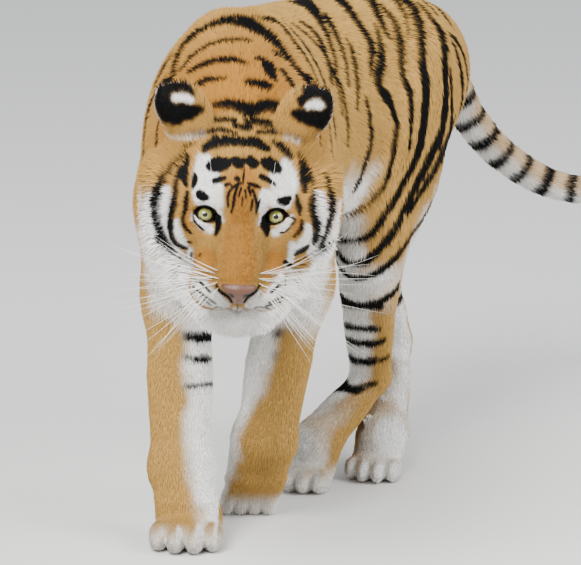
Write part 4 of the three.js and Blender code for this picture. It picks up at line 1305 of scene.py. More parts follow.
class Markings:
    """Black, white and deep orange of the coat, worked out at any place of the body."""

    def __init__(self, body: Body) -> None:
        """Args: body: the animal."""
        self.body = body
        self.head = body.head
        self.spine = Spine()
        self.bars = Bars()
        self.face_black = Strokes(FACE_BLACK, body)
        self.face_white = Strokes(FACE_WHITE, body)
        self.face_warm = Strokes(FACE_WARM, body)
        self.ear_black = Strokes(EAR_BLACK, body)
        self.ear_white = Strokes(EAR_WHITE, body)

    def paint(self, points: Array, normals: Array, soft: float = 2.0) -> Array:
        """Shares of black, white and deep orange at each place.

        Args:
            points: n by 3 body places on or near the skin.
            normals: outward directions there.
            soft: half width of the fading edges.

        Returns:
            n by 3 values from 0 to 1.
        """
        q = self.head.to_head(points)
        along, out, drop = self.spine.place(points)
        in_head = self.headness(q)
        black = self.trunk_black(points, normals, along, out, drop, soft) * (1 - in_head)
        white = self.trunk_white(points, normals, drop) * (1 - in_head)
        warm = step(520, 60, along + 0.3 * drop) * (1 - in_head)
        near = np.flatnonzero(in_head > 0.01)
        if len(near):
            b, w, o = self.face(q[near], normals[near] @ self.head.matrix, soft)
            share = in_head[near]
            black[near] = np.maximum(black[near], b * share)
            white[near] = np.maximum(white[near], w * share)
            warm[near] = warm[near] + share * (o - warm[near])
        nape = np.flatnonzero((in_head < 0.99) & (q[:, 1] < 260) & (q[:, 2] > -150) & (np.abs(q[:, 0]) < 190))
        black[nape] = np.maximum(black[nape], self.face_black.cover(q[nape], soft * 0.7))
        return np.clip(np.stack([black, white, warm], axis=1), 0, 1)

    def headness(self, q: Array) -> Array:
        """1 on the head, fading to 0 over the nape and throat.

        Args:
            q: n by 3 head places.

        Returns:
            n values from 0 to 1.
        """
        back = q[:, 1] - 0.35 * np.maximum(q[:, 2] - 40, 0)
        value = step(175, 130, back) * step(-235, -190, q[:, 2] - 0.25 * q[:, 1])
        ear = step(16, 6, self.head.ear_distance(q))
        return np.maximum(value, ear)

    def face(self, q: Array, n: Array, soft: float) -> tuple[Array, Array, Array]:
        """Black, white and deep orange of head places q with normals n.

        Args:
            q: n by 3 head places.
            n: outward directions there, in the head's axes.
            soft: half width of the fade at an edge, millimetres.

        Returns:
            Three arrays of n, not yet clipped to 0..1.
        """
        ear = step(12, 4, self.head.ear_distance(q)) * step(60, 78, q[:, 2])
        front = step(-0.15, 0.25, n @ self.head.facing)
        black = self.face_black.cover(q, soft * 0.7)
        white = self.face_white.cover(q, soft * 3.5)
        warm = 0.25 + 0.75 * self.face_warm.cover(q, 9.0)
        across = np.abs(q[:, 0])
        high = q @ self.head.face_up
        ragged = high + 26 * noise(q, 24.0, 8)
        ruff = step(128, 158, across) * step(52, -12, ragged) * (0.72 + 0.4 * noise(q, 22.0, 8))
        ruff *= 1 - step(-92, -122, ragged) * step(158, 172, across)
        under = step(-112, -135, q[:, 2]) * 0.95 * step(176, 160, across)
        white = np.maximum(white, np.maximum(ruff, under))
        u, v, ahead, _ = self.head.eye_frame(q)
        black = np.maximum(black, step(6.4, 4.4, almond(u, v)) * (ahead > 0))
        dark = self.ear_black.cover(q, 4.0, 1.45) * front
        pale = self.ear_white.cover(q, 3.0, 0.85) * front
        inside = step(0.2, -0.2, n @ self.head.facing)
        black = black * (1 - ear) + ear * dark * (1 - pale)
        white = white * (1 - ear) + ear * np.maximum(pale, 0.75 * inside)
        return black, white, warm

    def trunk_black(
        self, points: Array, normals: Array, along: Array, out: Array, drop: Array, soft: float
    ) -> Array:
        """Bars of the flanks, legs and tail.

        Args:
            points: n by 3 body places, millimetres.
            normals: outward direction at each place.
            along: length along the back.
            out: way out to the left.
            drop: drop below the back.
            soft: half width of the fade at an edge, millimetres.

        Returns:
            n shares of black.
        """
        black = self.bars.cover(along, out, drop, soft)
        fore = step(640, 560, points[:, 2]) * step(600, 560, points[:, 1])
        low = step(70, 95, points[:, 2])
        black = black * (1 - fore) * low
        inner = -np.sign(points[:, 0] - 20) * normals[:, 0]
        sway = 10 * noise(points, 60.0, 12) + 0.22 * (points[:, 1] - 330)
        for height, half, seed in ((520, 9, 1), (455, 11, 2), (392, 15, 3), (345, 12, 4), (286, 6, 5)):
            wide = half * (0.75 + 0.45 * noise(points, 26.0, seed))
            band = step(soft, -soft, np.abs(points[:, 2] + sway - height) - wide)
            clear = step(35, 60, np.abs(points[:, 0] - 20))
            black = np.maximum(black, band * fore * clear * step(-0.05, 0.35, inner))
        return self.tail_black(points, black, soft)

    def tail_black(self, points: Array, black: Array, soft: float) -> Array:
        """Rings of the tail over what is there already, the tip all black.

        Args:
            points: n by 3 body places, millimetres.
            black: shares of black so far, changed in place.
            soft: half width of the fade at an edge, millimetres.

        Returns:
            The same array.
        """
        on_tail = np.flatnonzero(self.body.tail.distance(points, 20) < 14)
        on_tail = on_tail[points[on_tail, 1] > 1120]
        if len(on_tail):
            p = points[on_tail]
            s, _ = self.body.tail.place(p)
            ring = np.abs((s + 6 * noise(p, 30.0, 9)) % 62 - 31)
            half = 13.5 + 4.5 * noise(p, 45.0, 10)
            tip = step(1010, 1040, s)
            black[on_tail] = np.maximum(step(soft * 1.5, -soft * 1.5, ring - half) * step(20, 70, s), tip)
        return black

    def trunk_white(self, points: Array, normals: Array, drop: Array) -> Array:
        """White of belly, inner legs, paws and tail.

        Args:
            points: n by 3 body places, millimetres.
            normals: outward direction at each place.
            drop: drop below the back.

        Returns:
            n shares of white.
        """
        ragged = noise(points, 34.0, 14)
        down = -normals[:, 2]
        belly = step(0.05, 0.55, down + 0.12 * ragged) * step(270, 350, drop) * step(330, 420, points[:, 2])
        chest = step(0.1, 0.75, -normals[:, 1] + down * 0.5) * step(170, 260, drop)
        chest = chest * step(80, 20, points[:, 1] - 120)
        chest *= step(150, 105, np.abs(points[:, 0] - 12))
        fore = (points[:, 2] < 640) & (points[:, 1] < 590)
        right = points[:, 0] < np.where(points[:, 2] < 500, between_forelegs(points), 20)
        inner = np.where(right, normals[:, 0], -normals[:, 0])
        turn = inner + 0.15 * ragged - np.where(right, 0.0, 0.5 * step(340, 160, points[:, 2]))
        inner_fore = step(-0.05, 0.5, turn) * fore * step(700, 560, points[:, 2])
        hind = np.flatnonzero((points[:, 1] > 600) & (points[:, 2] < 660))
        p, n = points[hind], normals[hind]
        left, other = self.body.hind_distances(p)
        frontal = np.where(left < other, -0.5 * n[:, 1] - 0.95 * n[:, 0], -0.9 * n[:, 1] + 0.4 * n[:, 0])
        inner_hind = np.zeros(len(points))
        shade = step(0.3, 0.75, frontal + 0.15 * ragged[hind]) * step(660, 520, p[:, 2])
        inner_hind[hind] = np.maximum(shade, 0.75 * step(200, 60, p[:, 2]) * step(-0.3, 0.4, frontal))
        foot = step(60, 20, points[:, 2]) * 0.8
        white = np.maximum.reduce([belly, chest, inner_fore, inner_hind, foot])
        tail = (self.body.tail.distance(points, 20) < 14) & (points[:, 1] > 1120)
        pale = step(-0.2, 0.6, down + 0.3 * ragged) * 0.8 + 0.2
        return np.where(tail, pale, white)


# ---- lie of the coat --------------------------------------------------------------------------
class Lie:
    """Direction and length of the hair at any place."""

    def __init__(self, body: Body, spine: Spine) -> None:
        """Args: body: the animal. spine: line of its back."""
        self.body = body
        self.head = body.head
        self.spine = spine
        rf, lf = RIGHT_FORE, LEFT_FORE
        self.limbs: list[tuple[Array, Array]] = []
        chains = [
            ((*rf.shoulder, 80), (*rf.elbow, 70), (*rf.wrist, 56), (-96, 262, 46, 56), (-86, 150, 6, 40)),
            ((*lf.shoulder, 80), (*lf.elbow, 70), (*lf.wrist, 56), (*lf.knuckles, 45), (*lf.toes, 30)),
        ]
        for leg in (LEFT_HIND, RIGHT_HIND):
            ankle = np.add(leg.paw, (16, 42, 74))
            turn = math.radians(leg.yaw)
            toe = np.add(leg.paw, (-math.sin(turn) * 80, -math.cos(turn) * 80, 6))
            chains.append(((*leg.hip, 110), (*leg.knee, 74), (*leg.hock, 44), (*ankle, 46), (*toe, 34)))
        for chain in chains:
            rows = smooth_rows(np.array(chain, float), 5)
            self.limbs.append((rows[:, :3], rows[:, 3]))

    @staticmethod
    def along_chain(points: Array, rows: Array, radii: Array) -> tuple[Array, Array]:
        """Gap from a chain less its radius, and its direction at the nearest place.

        Args:
            points: n by 3 body places, millimetres.
            rows: places of the chain.
            radii: its radius at each.

        Returns:
            n gaps and n by 3 unit directions.
        """
        best = np.full(len(points), 1e3)
        way = np.zeros((len(points), 3))
        for a, b, ra, rb in zip(rows, rows[1:], radii, radii[1:]):
            ab = b - a
            t = np.clip((points - a) @ ab / (ab @ ab), 0, 1)
            gap = np.linalg.norm(points - a - t[:, None] * ab, axis=1) - (ra + (rb - ra) * t)
            nearer = gap < best
            best[nearer] = gap[nearer]
            way[nearer] = ab / np.linalg.norm(ab)
        return best, way

    def way(self, points: Array, normals: Array) -> Array:
        """Unit direction of the hair, along the skin: parts weighed by how near they are.

        Args:
            points: n by 3 body places, millimetres.
            normals: outward direction at each place.

        Returns:
            n by 3 unit directions.
        """
        along, out, _ = self.spine.place(points)
        trunk = self.spine.way(along)
        side = np.clip(np.abs(out) / 120, 0, 1)[:, None]
        trunk = trunk + side * np.array([0, 0, -0.75])
        middle = np.interp(along, self.spine.length, self.spine.rows[:, 2])
        gap = np.maximum(np.abs(out) - 165, np.abs(points[:, 2] - middle) - 215)
        weight = np.exp(-np.clip(gap, -30, 300) / 22)[:, None]
        total = unit(trunk) * weight
        for rows, radii in self.limbs:
            gap, way = self.along_chain(points, rows, radii)
            total += way * np.exp(-np.clip(gap, -30, 300) / 22)[:, None]
        tail = points[:, 1] > 1080
        if tail.any():
            _, way = self.body.tail.place(points[tail])
            near = step(30, 8, self.body.tail.distance(points[tail], 60))[:, None]
            total[tail] = unit(total[tail]) * (1 - near) + way * near
        total = unit(total)
        q = self.head.to_head(points)
        on_head = (step(190, 110, q[:, 1]) * step(-260, -200, q[:, 2]))[:, None]
        total = unit(total * (1 - on_head) + on_head * self.head_way(q) @ self.head.matrix.T)
        total += 0.16 * np.stack([noise(points, 26.0, n + 20) for n in range(3)], axis=1)
        total -= normals * np.sum(total * normals, axis=1, keepdims=True)
        return unit(total)

    def head_way(self, q: Array) -> Array:
        """Hair of the head: back from the nose, out over the cheeks, down at the chin, up the ears.

        Args:
            q: n by 3 head places.

        Returns:
            n by 3 unit directions in the head's axes.
        """
        way = unit(q - np.array([0, -MUZZLE - 14, -46]))
        out = unit(q - np.array([0, -20, 10]))
        out[:, 2] -= 0.35
        cheek = (step(60, 110, np.abs(q[:, 0])) * step(70, 10, q[:, 2]))[:, None]
        way = way * (1 - cheek) + unit(out) * cheek
        chin = (step(-100, -120, q[:, 2]) * step(-20, -60, q[:, 1]))[:, None]
        way = way * (1 - chin) + chin * unit(np.array([0, 0.5, -1.0]) + 0.004 * q * np.array([1, 0, 0]))
        ear = step(14, 5, self.head.ear_distance(q))[:, None] * step(60, 85, q[:, 2])[:, None]
        up = unit(np.stack([0.35 * np.sign(q[:, 0]), 0 * q[:, 0] + 0.1, 0 * q[:, 0] + 1], axis=1))
        return unit(way * (1 - ear) + up * ear)

    def length(self, points: Array, normals: Array) -> Array:
        """Length of a tuft at each place, millimetres.

        Args:
            points: n by 3 body places, millimetres.
            normals: outward direction at each place.

        Returns:
            n lengths.
        """
        q = self.head.to_head(points)
        size = np.full(len(points), 24.0)
        down = step(0.2, 0.8, -normals[:, 2]) * step(330, 420, points[:, 2])
        size += 14 * down
        leg = step(600, 420, points[:, 2])
        size += leg * (13 - size)
        size += step(110, 60, points[:, 2]) * (11 - size)
        tail = step(1100, 1160, points[:, 1])
        size += tail * (22 - size)
        across = np.abs(q[:, 0])
        on_head = step(180, 120, q[:, 1]) * step(-260, -210, q[:, 2])
        face = 7.0 + 9 * step(30, 120, q[:, 1] + 0.2 * across) + 4 * step(70, 110, across)
        ruff = step(104, 140, across) * step(-10, 70, q[:, 1]) * step(50, 5, q[:, 2])
        face += ruff * (44 - face)
        low = step(-98, -128, q[:, 2]) * step(-MUZZLE + 25, -MUZZLE + 60, q[:, 1])
        face += low * (36 + 14 * step(25, 75, across) - face)
        muzzle = step(-60, -100, q[:, 1]) * step(-104, -98, q[:, 2])
        face += muzzle * (5.5 - face)
        ear = step(12, 4, self.head.ear_distance(q)) * step(60, 78, q[:, 2])
        face += ear * (9 - face)
        return size + on_head * (face - size)


# ---- into Blender -----------------------------------------------------------------------------
def linear(colour: str) -> tuple[float, float, float, float]:
    """Linear RGBA of an sRGB hex colour.

    Args:
        colour: written #RRGGBB.

    Returns:
        Red, green, blue and an alpha of 1.
    """
    value = np.array([int(colour[n:n + 2], 16) for n in (1, 3, 5)]) / 255
    low = value / 12.92
    high = ((value + 0.055) / 1.055) ** 2.4
    return (*np.where(value <= 0.04045, low, high).tolist(), 1.0)


class Placing:
    """Takes body millimetres to the frame's metres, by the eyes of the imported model."""

    def __init__(self, head: Head) -> None:
        """Args: head: the head whose eyes are matched to the nodes of the same name."""
        boxes = [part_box(name) for name in ("right_eye", "left_eye")]
        found = np.mean([(np.array(low) + np.array(high)) / 2 for low, high in boxes], axis=0)
        ours = head.to_body((head.eye_centre(1) + head.eye_centre(-1))[None] / 2)[0] / 1000
        self.shift = found - ours
        self.shift[2] = 0.0

    def metres(self, points: Array) -> Array:
        """Places in the frame."""
        return points / 1000 + self.shift


def mesh_object(name: str, points: Array, faces: Array, smooth: bool = True) -> bpy.types.Object:
    """A mesh object from arrays, linked to the scene.

    Args:
        name: name of the piece.
        points: n by 3, metres.
        faces: m by 3 corner numbers.
        smooth: whether its faces shade smoothly.

    Returns:
        The new object.
    """
    mesh = bpy.data.meshes.new(name)
    mesh.vertices.add(len(points))
    mesh.vertices.foreach_set("co", np.ascontiguousarray(points, np.float32).ravel())
    mesh.loops.add(faces.size)
    mesh.loops.foreach_set("vertex_index", np.ascontiguousarray(faces, np.int32).ravel())
    mesh.polygons.add(len(faces))
    mesh.polygons.foreach_set("loop_start", np.arange(0, faces.size, 3, dtype=np.int32))
    mesh.polygons.foreach_set("use_smooth", np.full(len(faces), smooth))
    mesh.update(calc_edges=True)
    obj = bpy.data.objects.new(name, mesh)
    bpy.context.collection.objects.link(obj)
    return obj


def colour_attribute(obj: bpy.types.Object, name: str, values: Array) -> None:
    """Four numbers to each point of a mesh, under a name that its material reads."""
    attribute = obj.data.color_attributes.new(name, "FLOAT_COLOR", "POINT")
    attribute.data.foreach_set("color", np.ascontiguousarray(values, np.float32).ravel())


def spaced(low: float, high: float, coarse: float, fine: tuple[float, float, float]) -> Array:
    """Grid places from low to high, coarse apart, but finer between two places.

    Args:
        low, high: ends of the grid.
        coarse: usual spacing.
        fine: start, end and spacing of the finer stretch.

    Returns:
        The places in order.
    """
    start, end, small = fine
    parts = [np.arange(start, low - coarse, -coarse)[::-1], np.arange(start + small, end, small)]
    last = parts[1][-1] if len(parts[1]) else start
    parts.append(np.arange(last + coarse, high + coarse, coarse))
    return np.concatenate(parts)


# ---- finishes ---------------------------------------------------------------------------------
class Nodes:
    """A material's node tree with one way of adding to it."""

    def __init__(self, name: str) -> None:
        """Args: name: what the material is."""
        self.material = bpy.data.materials.new(name)
        self.material.use_nodes = True
        self.tree = self.material.node_tree
        self.shader = self.tree.nodes["Principled BSDF"]

    def add(self, kind: str, settings: Optional[dict] = None, links: Optional[dict] = None) -> bpy.types.Node:
        """Adds a node.

        Args:
            kind: type name without its ShaderNode prefix.
            settings: properties by name, and input values by number.
            links: output sockets by the number or name of the input they feed.

        Returns:
            The node.
        """
        node = self.tree.nodes.new("ShaderNode" + kind)
        for key, value in (settings or {}).items():
            if isinstance(key, str) and hasattr(node, key):
                setattr(node, key, value)
            else:
                node.inputs[key].default_value = value
        for key, socket in (links or {}).items():
            self.tree.links.new(socket, node.inputs[key])
        return node

    def mix(self, factor: object, first: object, second: object, blend: str = "MIX") -> object:
        """A colour mix; each argument is a value or the socket that gives it.

        Args:
            factor: share of the second.
            first: first colour.
            second: second colour.
            blend: kind of mix.

        Returns:
            The output socket.
        """
        node = self.add("Mix", {"data_type": "RGBA", "blend_type": blend})
        for number, value in ((0, factor), (6, first), (7, second)):
            if isinstance(value, bpy.types.NodeSocket):
                self.tree.links.new(value, node.inputs[number])
            else:
                node.inputs[number].default_value = value
        return node.outputs[2]

    def dress(self, **values: object) -> None:
        """Sets or links the shader's inputs; underscores in a name stand for spaces."""
        for name, value in values.items():
            socket = self.shader.inputs[name.replace("_", " ")]
            if isinstance(value, bpy.types.NodeSocket):
                self.tree.links.new(value, socket)
            else:
                socket.default_value = value


@dataclass(frozen=True)
class CoatFinish:
    """Guard hair over undercoat: dull, a little sheen, its colour from the markings of each place times a
    painted shade kept in the alpha of the marks.
    """

    gold: str = "#B28B4A"
    orange: str = "#A67230"
    white: str = "#F2F1EE"
    black: str = "#070606"
    roughness: float = 0.62
    fleck: float = 3.0  # mm between the paler and darker hairs, drawn coarse enough to show

    def make(self, name: str, bump: float) -> bpy.types.Material:
        """The material; bump is the height of the hair's relief on a bare surface, in metres.

        Args:
            name: name of the material.
            bump: height of the relief, metres.

        Returns:
            The material.
        """
        nodes = Nodes(name)
        marks = nodes.add("Attribute", {"attribute_name": "marks"})
        parts = nodes.add("SeparateColor", links={0: marks.outputs["Color"]})
        place = nodes.add("TexCoord").outputs["Object"]
        fine = nodes.add("TexNoise", {"Scale": 1000 / self.fleck, "Detail": 2.0}, {"Vector": place})
        broad = nodes.add("TexNoise", {"Scale": 9.0, "Detail": 3.0}, {"Vector": place})
        colour = nodes.mix(parts.outputs[2], linear(self.gold), linear(self.orange))
        colour = nodes.mix(parts.outputs[1], colour, linear(self.white))
        colour = nodes.mix(parts.outputs[0], colour, linear(self.black))
        grain = nodes.mix(fine.outputs[0], (0.72, 0.72, 0.72, 1), (1.25, 1.25, 1.25, 1))
        colour = nodes.mix(1.0, colour, grain, "MULTIPLY")
        drift = nodes.mix(broad.outputs[0], (0.86, 0.82, 0.76, 1), (1.12, 1.14, 1.16, 1))
        colour = nodes.mix(1.0, colour, drift, "MULTIPLY")
        # painted shade: the alpha of the marks darkens the colour, at the roots of the tufts and on the skin
        # under the coat
        shade = nodes.add("CombineColor", links={n: marks.outputs["Alpha"] for n in range(3)})
        colour = nodes.mix(1.0, colour, shade.outputs[0], "MULTIPLY")
        nodes.dress(Base_Color=colour, Roughness=self.roughness, Sheen_Weight=0.02, Sheen_Roughness=0.4)
        nodes.dress(Specular_IOR_Level=0.08)
        if bump:
            relief = nodes.add("Bump", {"Distance": bump, "Strength": 0.8}, {"Height": fine.outputs[0]})
            nodes.dress(Normal=relief.outputs[0])
        return nodes.material


@dataclass(frozen=True)
class EyeFinish:
    """Wet eyeball: pale green-gold iris with a darker edge, round black pupil, clear gloss over all."""

    iris: str = "#8E8C4C"
    inner: str = "#A39C4E"
    edge: str = "#2B2A1B"
    pupil: str = "#050505"
    white: str = "#33281F"
    pupil_radius: float = 0.22  # angles from the gaze, radians
    iris_radius: float = 0.70

    def make(self, name: str) -> bpy.types.Material:
        """The material, by the angle from the gaze kept in each point.

        Args:
            name: name of the material.

        Returns:
            The material.
        """
        nodes = Nodes(name)
        gaze = nodes.add("Attribute", {"attribute_name": "gaze"}).outputs["Fac"]
        place = nodes.add("TexCoord").outputs["Object"]
        streak = nodes.add("TexNoise", {"Scale": 900.0, "Detail": 3.0}, {"Vector": place})
        ramp = nodes.add("ValToRGB", links={0: gaze})
        bands = ramp.color_ramp
        stops = (
            (0.0, self.pupil), (self.pupil_radius, self.pupil), (self.pupil_radius + 0.02, self.inner),
            (self.iris_radius * 0.62, self.iris), (self.iris_radius - 0.08, self.iris),
            (self.iris_radius, self.edge), (self.iris_radius + 0.1, self.white),
        )
        while len(bands.elements) < len(stops):
            bands.elements.new(0.5)
        for element, (position, colour) in zip(bands.elements, stops):
            element.position = position
            element.color = linear(colour)
        fleck = nodes.mix(streak.outputs[0], (0.7, 0.7, 0.7, 1), (1.2, 1.2, 1.2, 1))
        colour = nodes.mix(1.0, ramp.outputs[0], fleck, "MULTIPLY")
        nodes.dress(Base_Color=colour, Roughness=0.08, IOR=1.38, Coat_Weight=1.0, Coat_Roughness=0.02)
        return nodes.material


@dataclass(frozen=True)
class LeatherFinish:
    """Bare nose skin: pink-brown, pebbled about a millimetre across, darker at its rim, with painted shade in
    the nostrils and between the pebbles, slightly moist.
    """

    pink: str = "#583421"
    dark: str = "#241A17"
    pebble: float = 1.6  # mm

    def make(self, name: str) -> bpy.types.Material:
        """The material; its dark share, the black edge of the leather and the painted shade of the nostrils,
        is the red of the attribute.

        Args:
            name: name of the material.

        Returns:
            The material.
        """
        nodes = Nodes(name)
        marks = nodes.add("Attribute", {"attribute_name": "marks"})
        parts = nodes.add("SeparateColor", links={0: marks.outputs["Color"]})
        place = nodes.add("TexCoord").outputs["Object"]
        pebbles = nodes.add("TexVoronoi", {"Scale": 1000 / self.pebble}, {"Vector": place})
        colour = nodes.mix(parts.outputs[0], linear(self.pink), linear(self.dark))
        # painted shade: the leather is darker towards the grooves between the pebbles, where the relief below
        # sinks
        grain = nodes.mix(pebbles.outputs[0], (1.1, 1.08, 1.08, 1), (0.75, 0.72, 0.72, 1))
        colour = nodes.mix(1.0, colour, grain, "MULTIPLY")
        height = {"Height": pebbles.outputs[0]}
        relief = nodes.add("Bump", {"Distance": 0.0006, "Strength": 0.5, "invert": True}, height)
        nodes.dress(Base_Color=colour, Roughness=0.42, Normal=relief.outputs[0])
        return nodes.material


@dataclass(frozen=True)
class WhiskerFinish:
    """Whisker horn: white, smooth and a little glossy, fading to cream."""

    white: str = "#F3F1EC"
    cream: str = "#D9D2C4"

    def make(self, name: str) -> bpy.types.Material:
        """The material, mottled over a centimetre.

        Args:
            name: name of the material.

        Returns:
            The material.
        """
        nodes = Nodes(name)
        place = nodes.add("TexCoord").outputs["Object"]
        drift = nodes.add("TexNoise", {"Scale": 100.0}, {"Vector": place})
        colour = nodes.mix(drift.outputs[0], linear(self.white), linear(self.cream))
        nodes.dress(Base_Color=colour, Roughness=0.35)
        return nodes.material


@dataclass(frozen=True)
class FloorFinish:
    """Matt pale paint of the studio floor."""

    paint: str = "#D9D8D5"

    def make(self, name: str) -> bpy.types.Material:
        """The material."""
        nodes = Nodes(name)
        nodes.dress(Base_Color=linear(self.paint), Roughness=0.9)
        return nodes.material


# ---- pieces -----------------------------------------------------------------------------------
@dataclass
class Skin:
    """One closed skin over the whole animal, a coat's depth inside the solids."""

    body: Body
    place: Placing
    markings: Markings
    coarse: float = 11.5
    fine: float = 5.8
    face_edge: float = 5.2
    muzzle_edge: float = 4.2
    eye_edge: float = 2.6
    paw_edge: float = 9.0

    def build(self) -> tuple[bpy.types.Object, Surface]:
        """The skin's object and its surface in body millimetres.

        Returns:
            The object and its surface.
        """
        axes = (
            spaced(-225, 905, self.coarse, (-185, 205, self.fine)),
            spaced(-385, 1450, self.coarse, (-380, 40, self.fine)),
            spaced(-14, 1020, self.coarse, (520, 930, self.fine)),
        )
        skin = Surface(self.body.level, axes)
        skin.project(2)
        for _ in range(2):
            first = len(skin.points)
            skin.refine(self.wanted)
            skin.project(2, 3.0, first)
        outside = self.in_body(skin.points)
        skin.relax((0.5, -0.52, 0.5, -0.52, 0.5, -0.52), outside)
        skin.points[:, 2] = np.maximum(skin.points[:, 2], 0.4)
        normals = skin.normals()
        obj = mesh_object("skin", self.place.metres(skin.points), skin.faces)
        marks = self.markings.paint(skin.points, normals)
        # painted shade: the skin under the coat is darkened to 0.62, as though shaded by the tufts over it,
        # and brought up to 0.9 about the eyes, where the hair is too short to shade it
        shade = np.full((len(marks), 1), 0.62)
        face = self.bare(skin.points)[:, None]
        colour_attribute(obj, "marks", np.hstack([marks, shade + (0.9 - shade) * face]))
        obj.data.materials.append(CoatFinish().make("undercoat", 0.0012))
        log.info("skin: %d triangles", len(skin.faces))
        return obj, skin

    def in_body(self, points: Array) -> Array:
        """1 where the skin is plain body, 0 on the finely cut face and the paws."""
        q = self.body.head.to_head(points)
        face = step(90, 30, q[:, 1]) * step(-260, -200, q[:, 2])
        return (1 - face) * step(75, 130, points[:, 2])

    def bare(self, points: Array) -> Array:
        """1 about the eyes, where the hair is too short to shade the skin."""
        q = self.body.head.to_head(points)
        return step(60, 30, self.body.head.from_eye(q))

    def wanted(self, points: Array) -> Array:
        """Longest edge wanted at each place.

        Args:
            points: n by 3 body places, millimetres.

        Returns:
            n lengths, millimetres.
        """
        q = self.body.head.to_head(points)
        across = np.abs(q[:, 0])
        eye = self.body.head.from_eye(q)
        size = np.full(len(points), 20.0)
        face = (q[:, 1] < 20) & (across < 110) & (q[:, 2] > -150)
        size = np.where(face, self.face_edge, size)
        size = np.where((q[:, 1] < -70) & (across < 100), self.muzzle_edge, size)
        size = np.where((eye < 34) & (q[:, 1] < 0), self.eye_edge, size)
        return np.where(points[:, 2] < 75, self.paw_edge, size)


class Region(Enum):
    """Parts of the coat, each a piece of its own: number, and area of skin to one tuft in mm2."""

    FACE = (0, 4.6)
    MUZZLE = (1, 4.6)
    RUFF = (2, 9.5)
    NECK = (3, 12.0)
    SHOULDERS = (4, 13.0)
    BARREL = (5, 14.0)
    RUMP = (6, 14.0)
    RIGHT_FORE = (7, 11.0)
    LEFT_FORE = (8, 11.0)
    LEFT_HIND = (9, 12.0)
    RIGHT_HIND = (10, 12.0)
    TAIL = (11, 10.0)


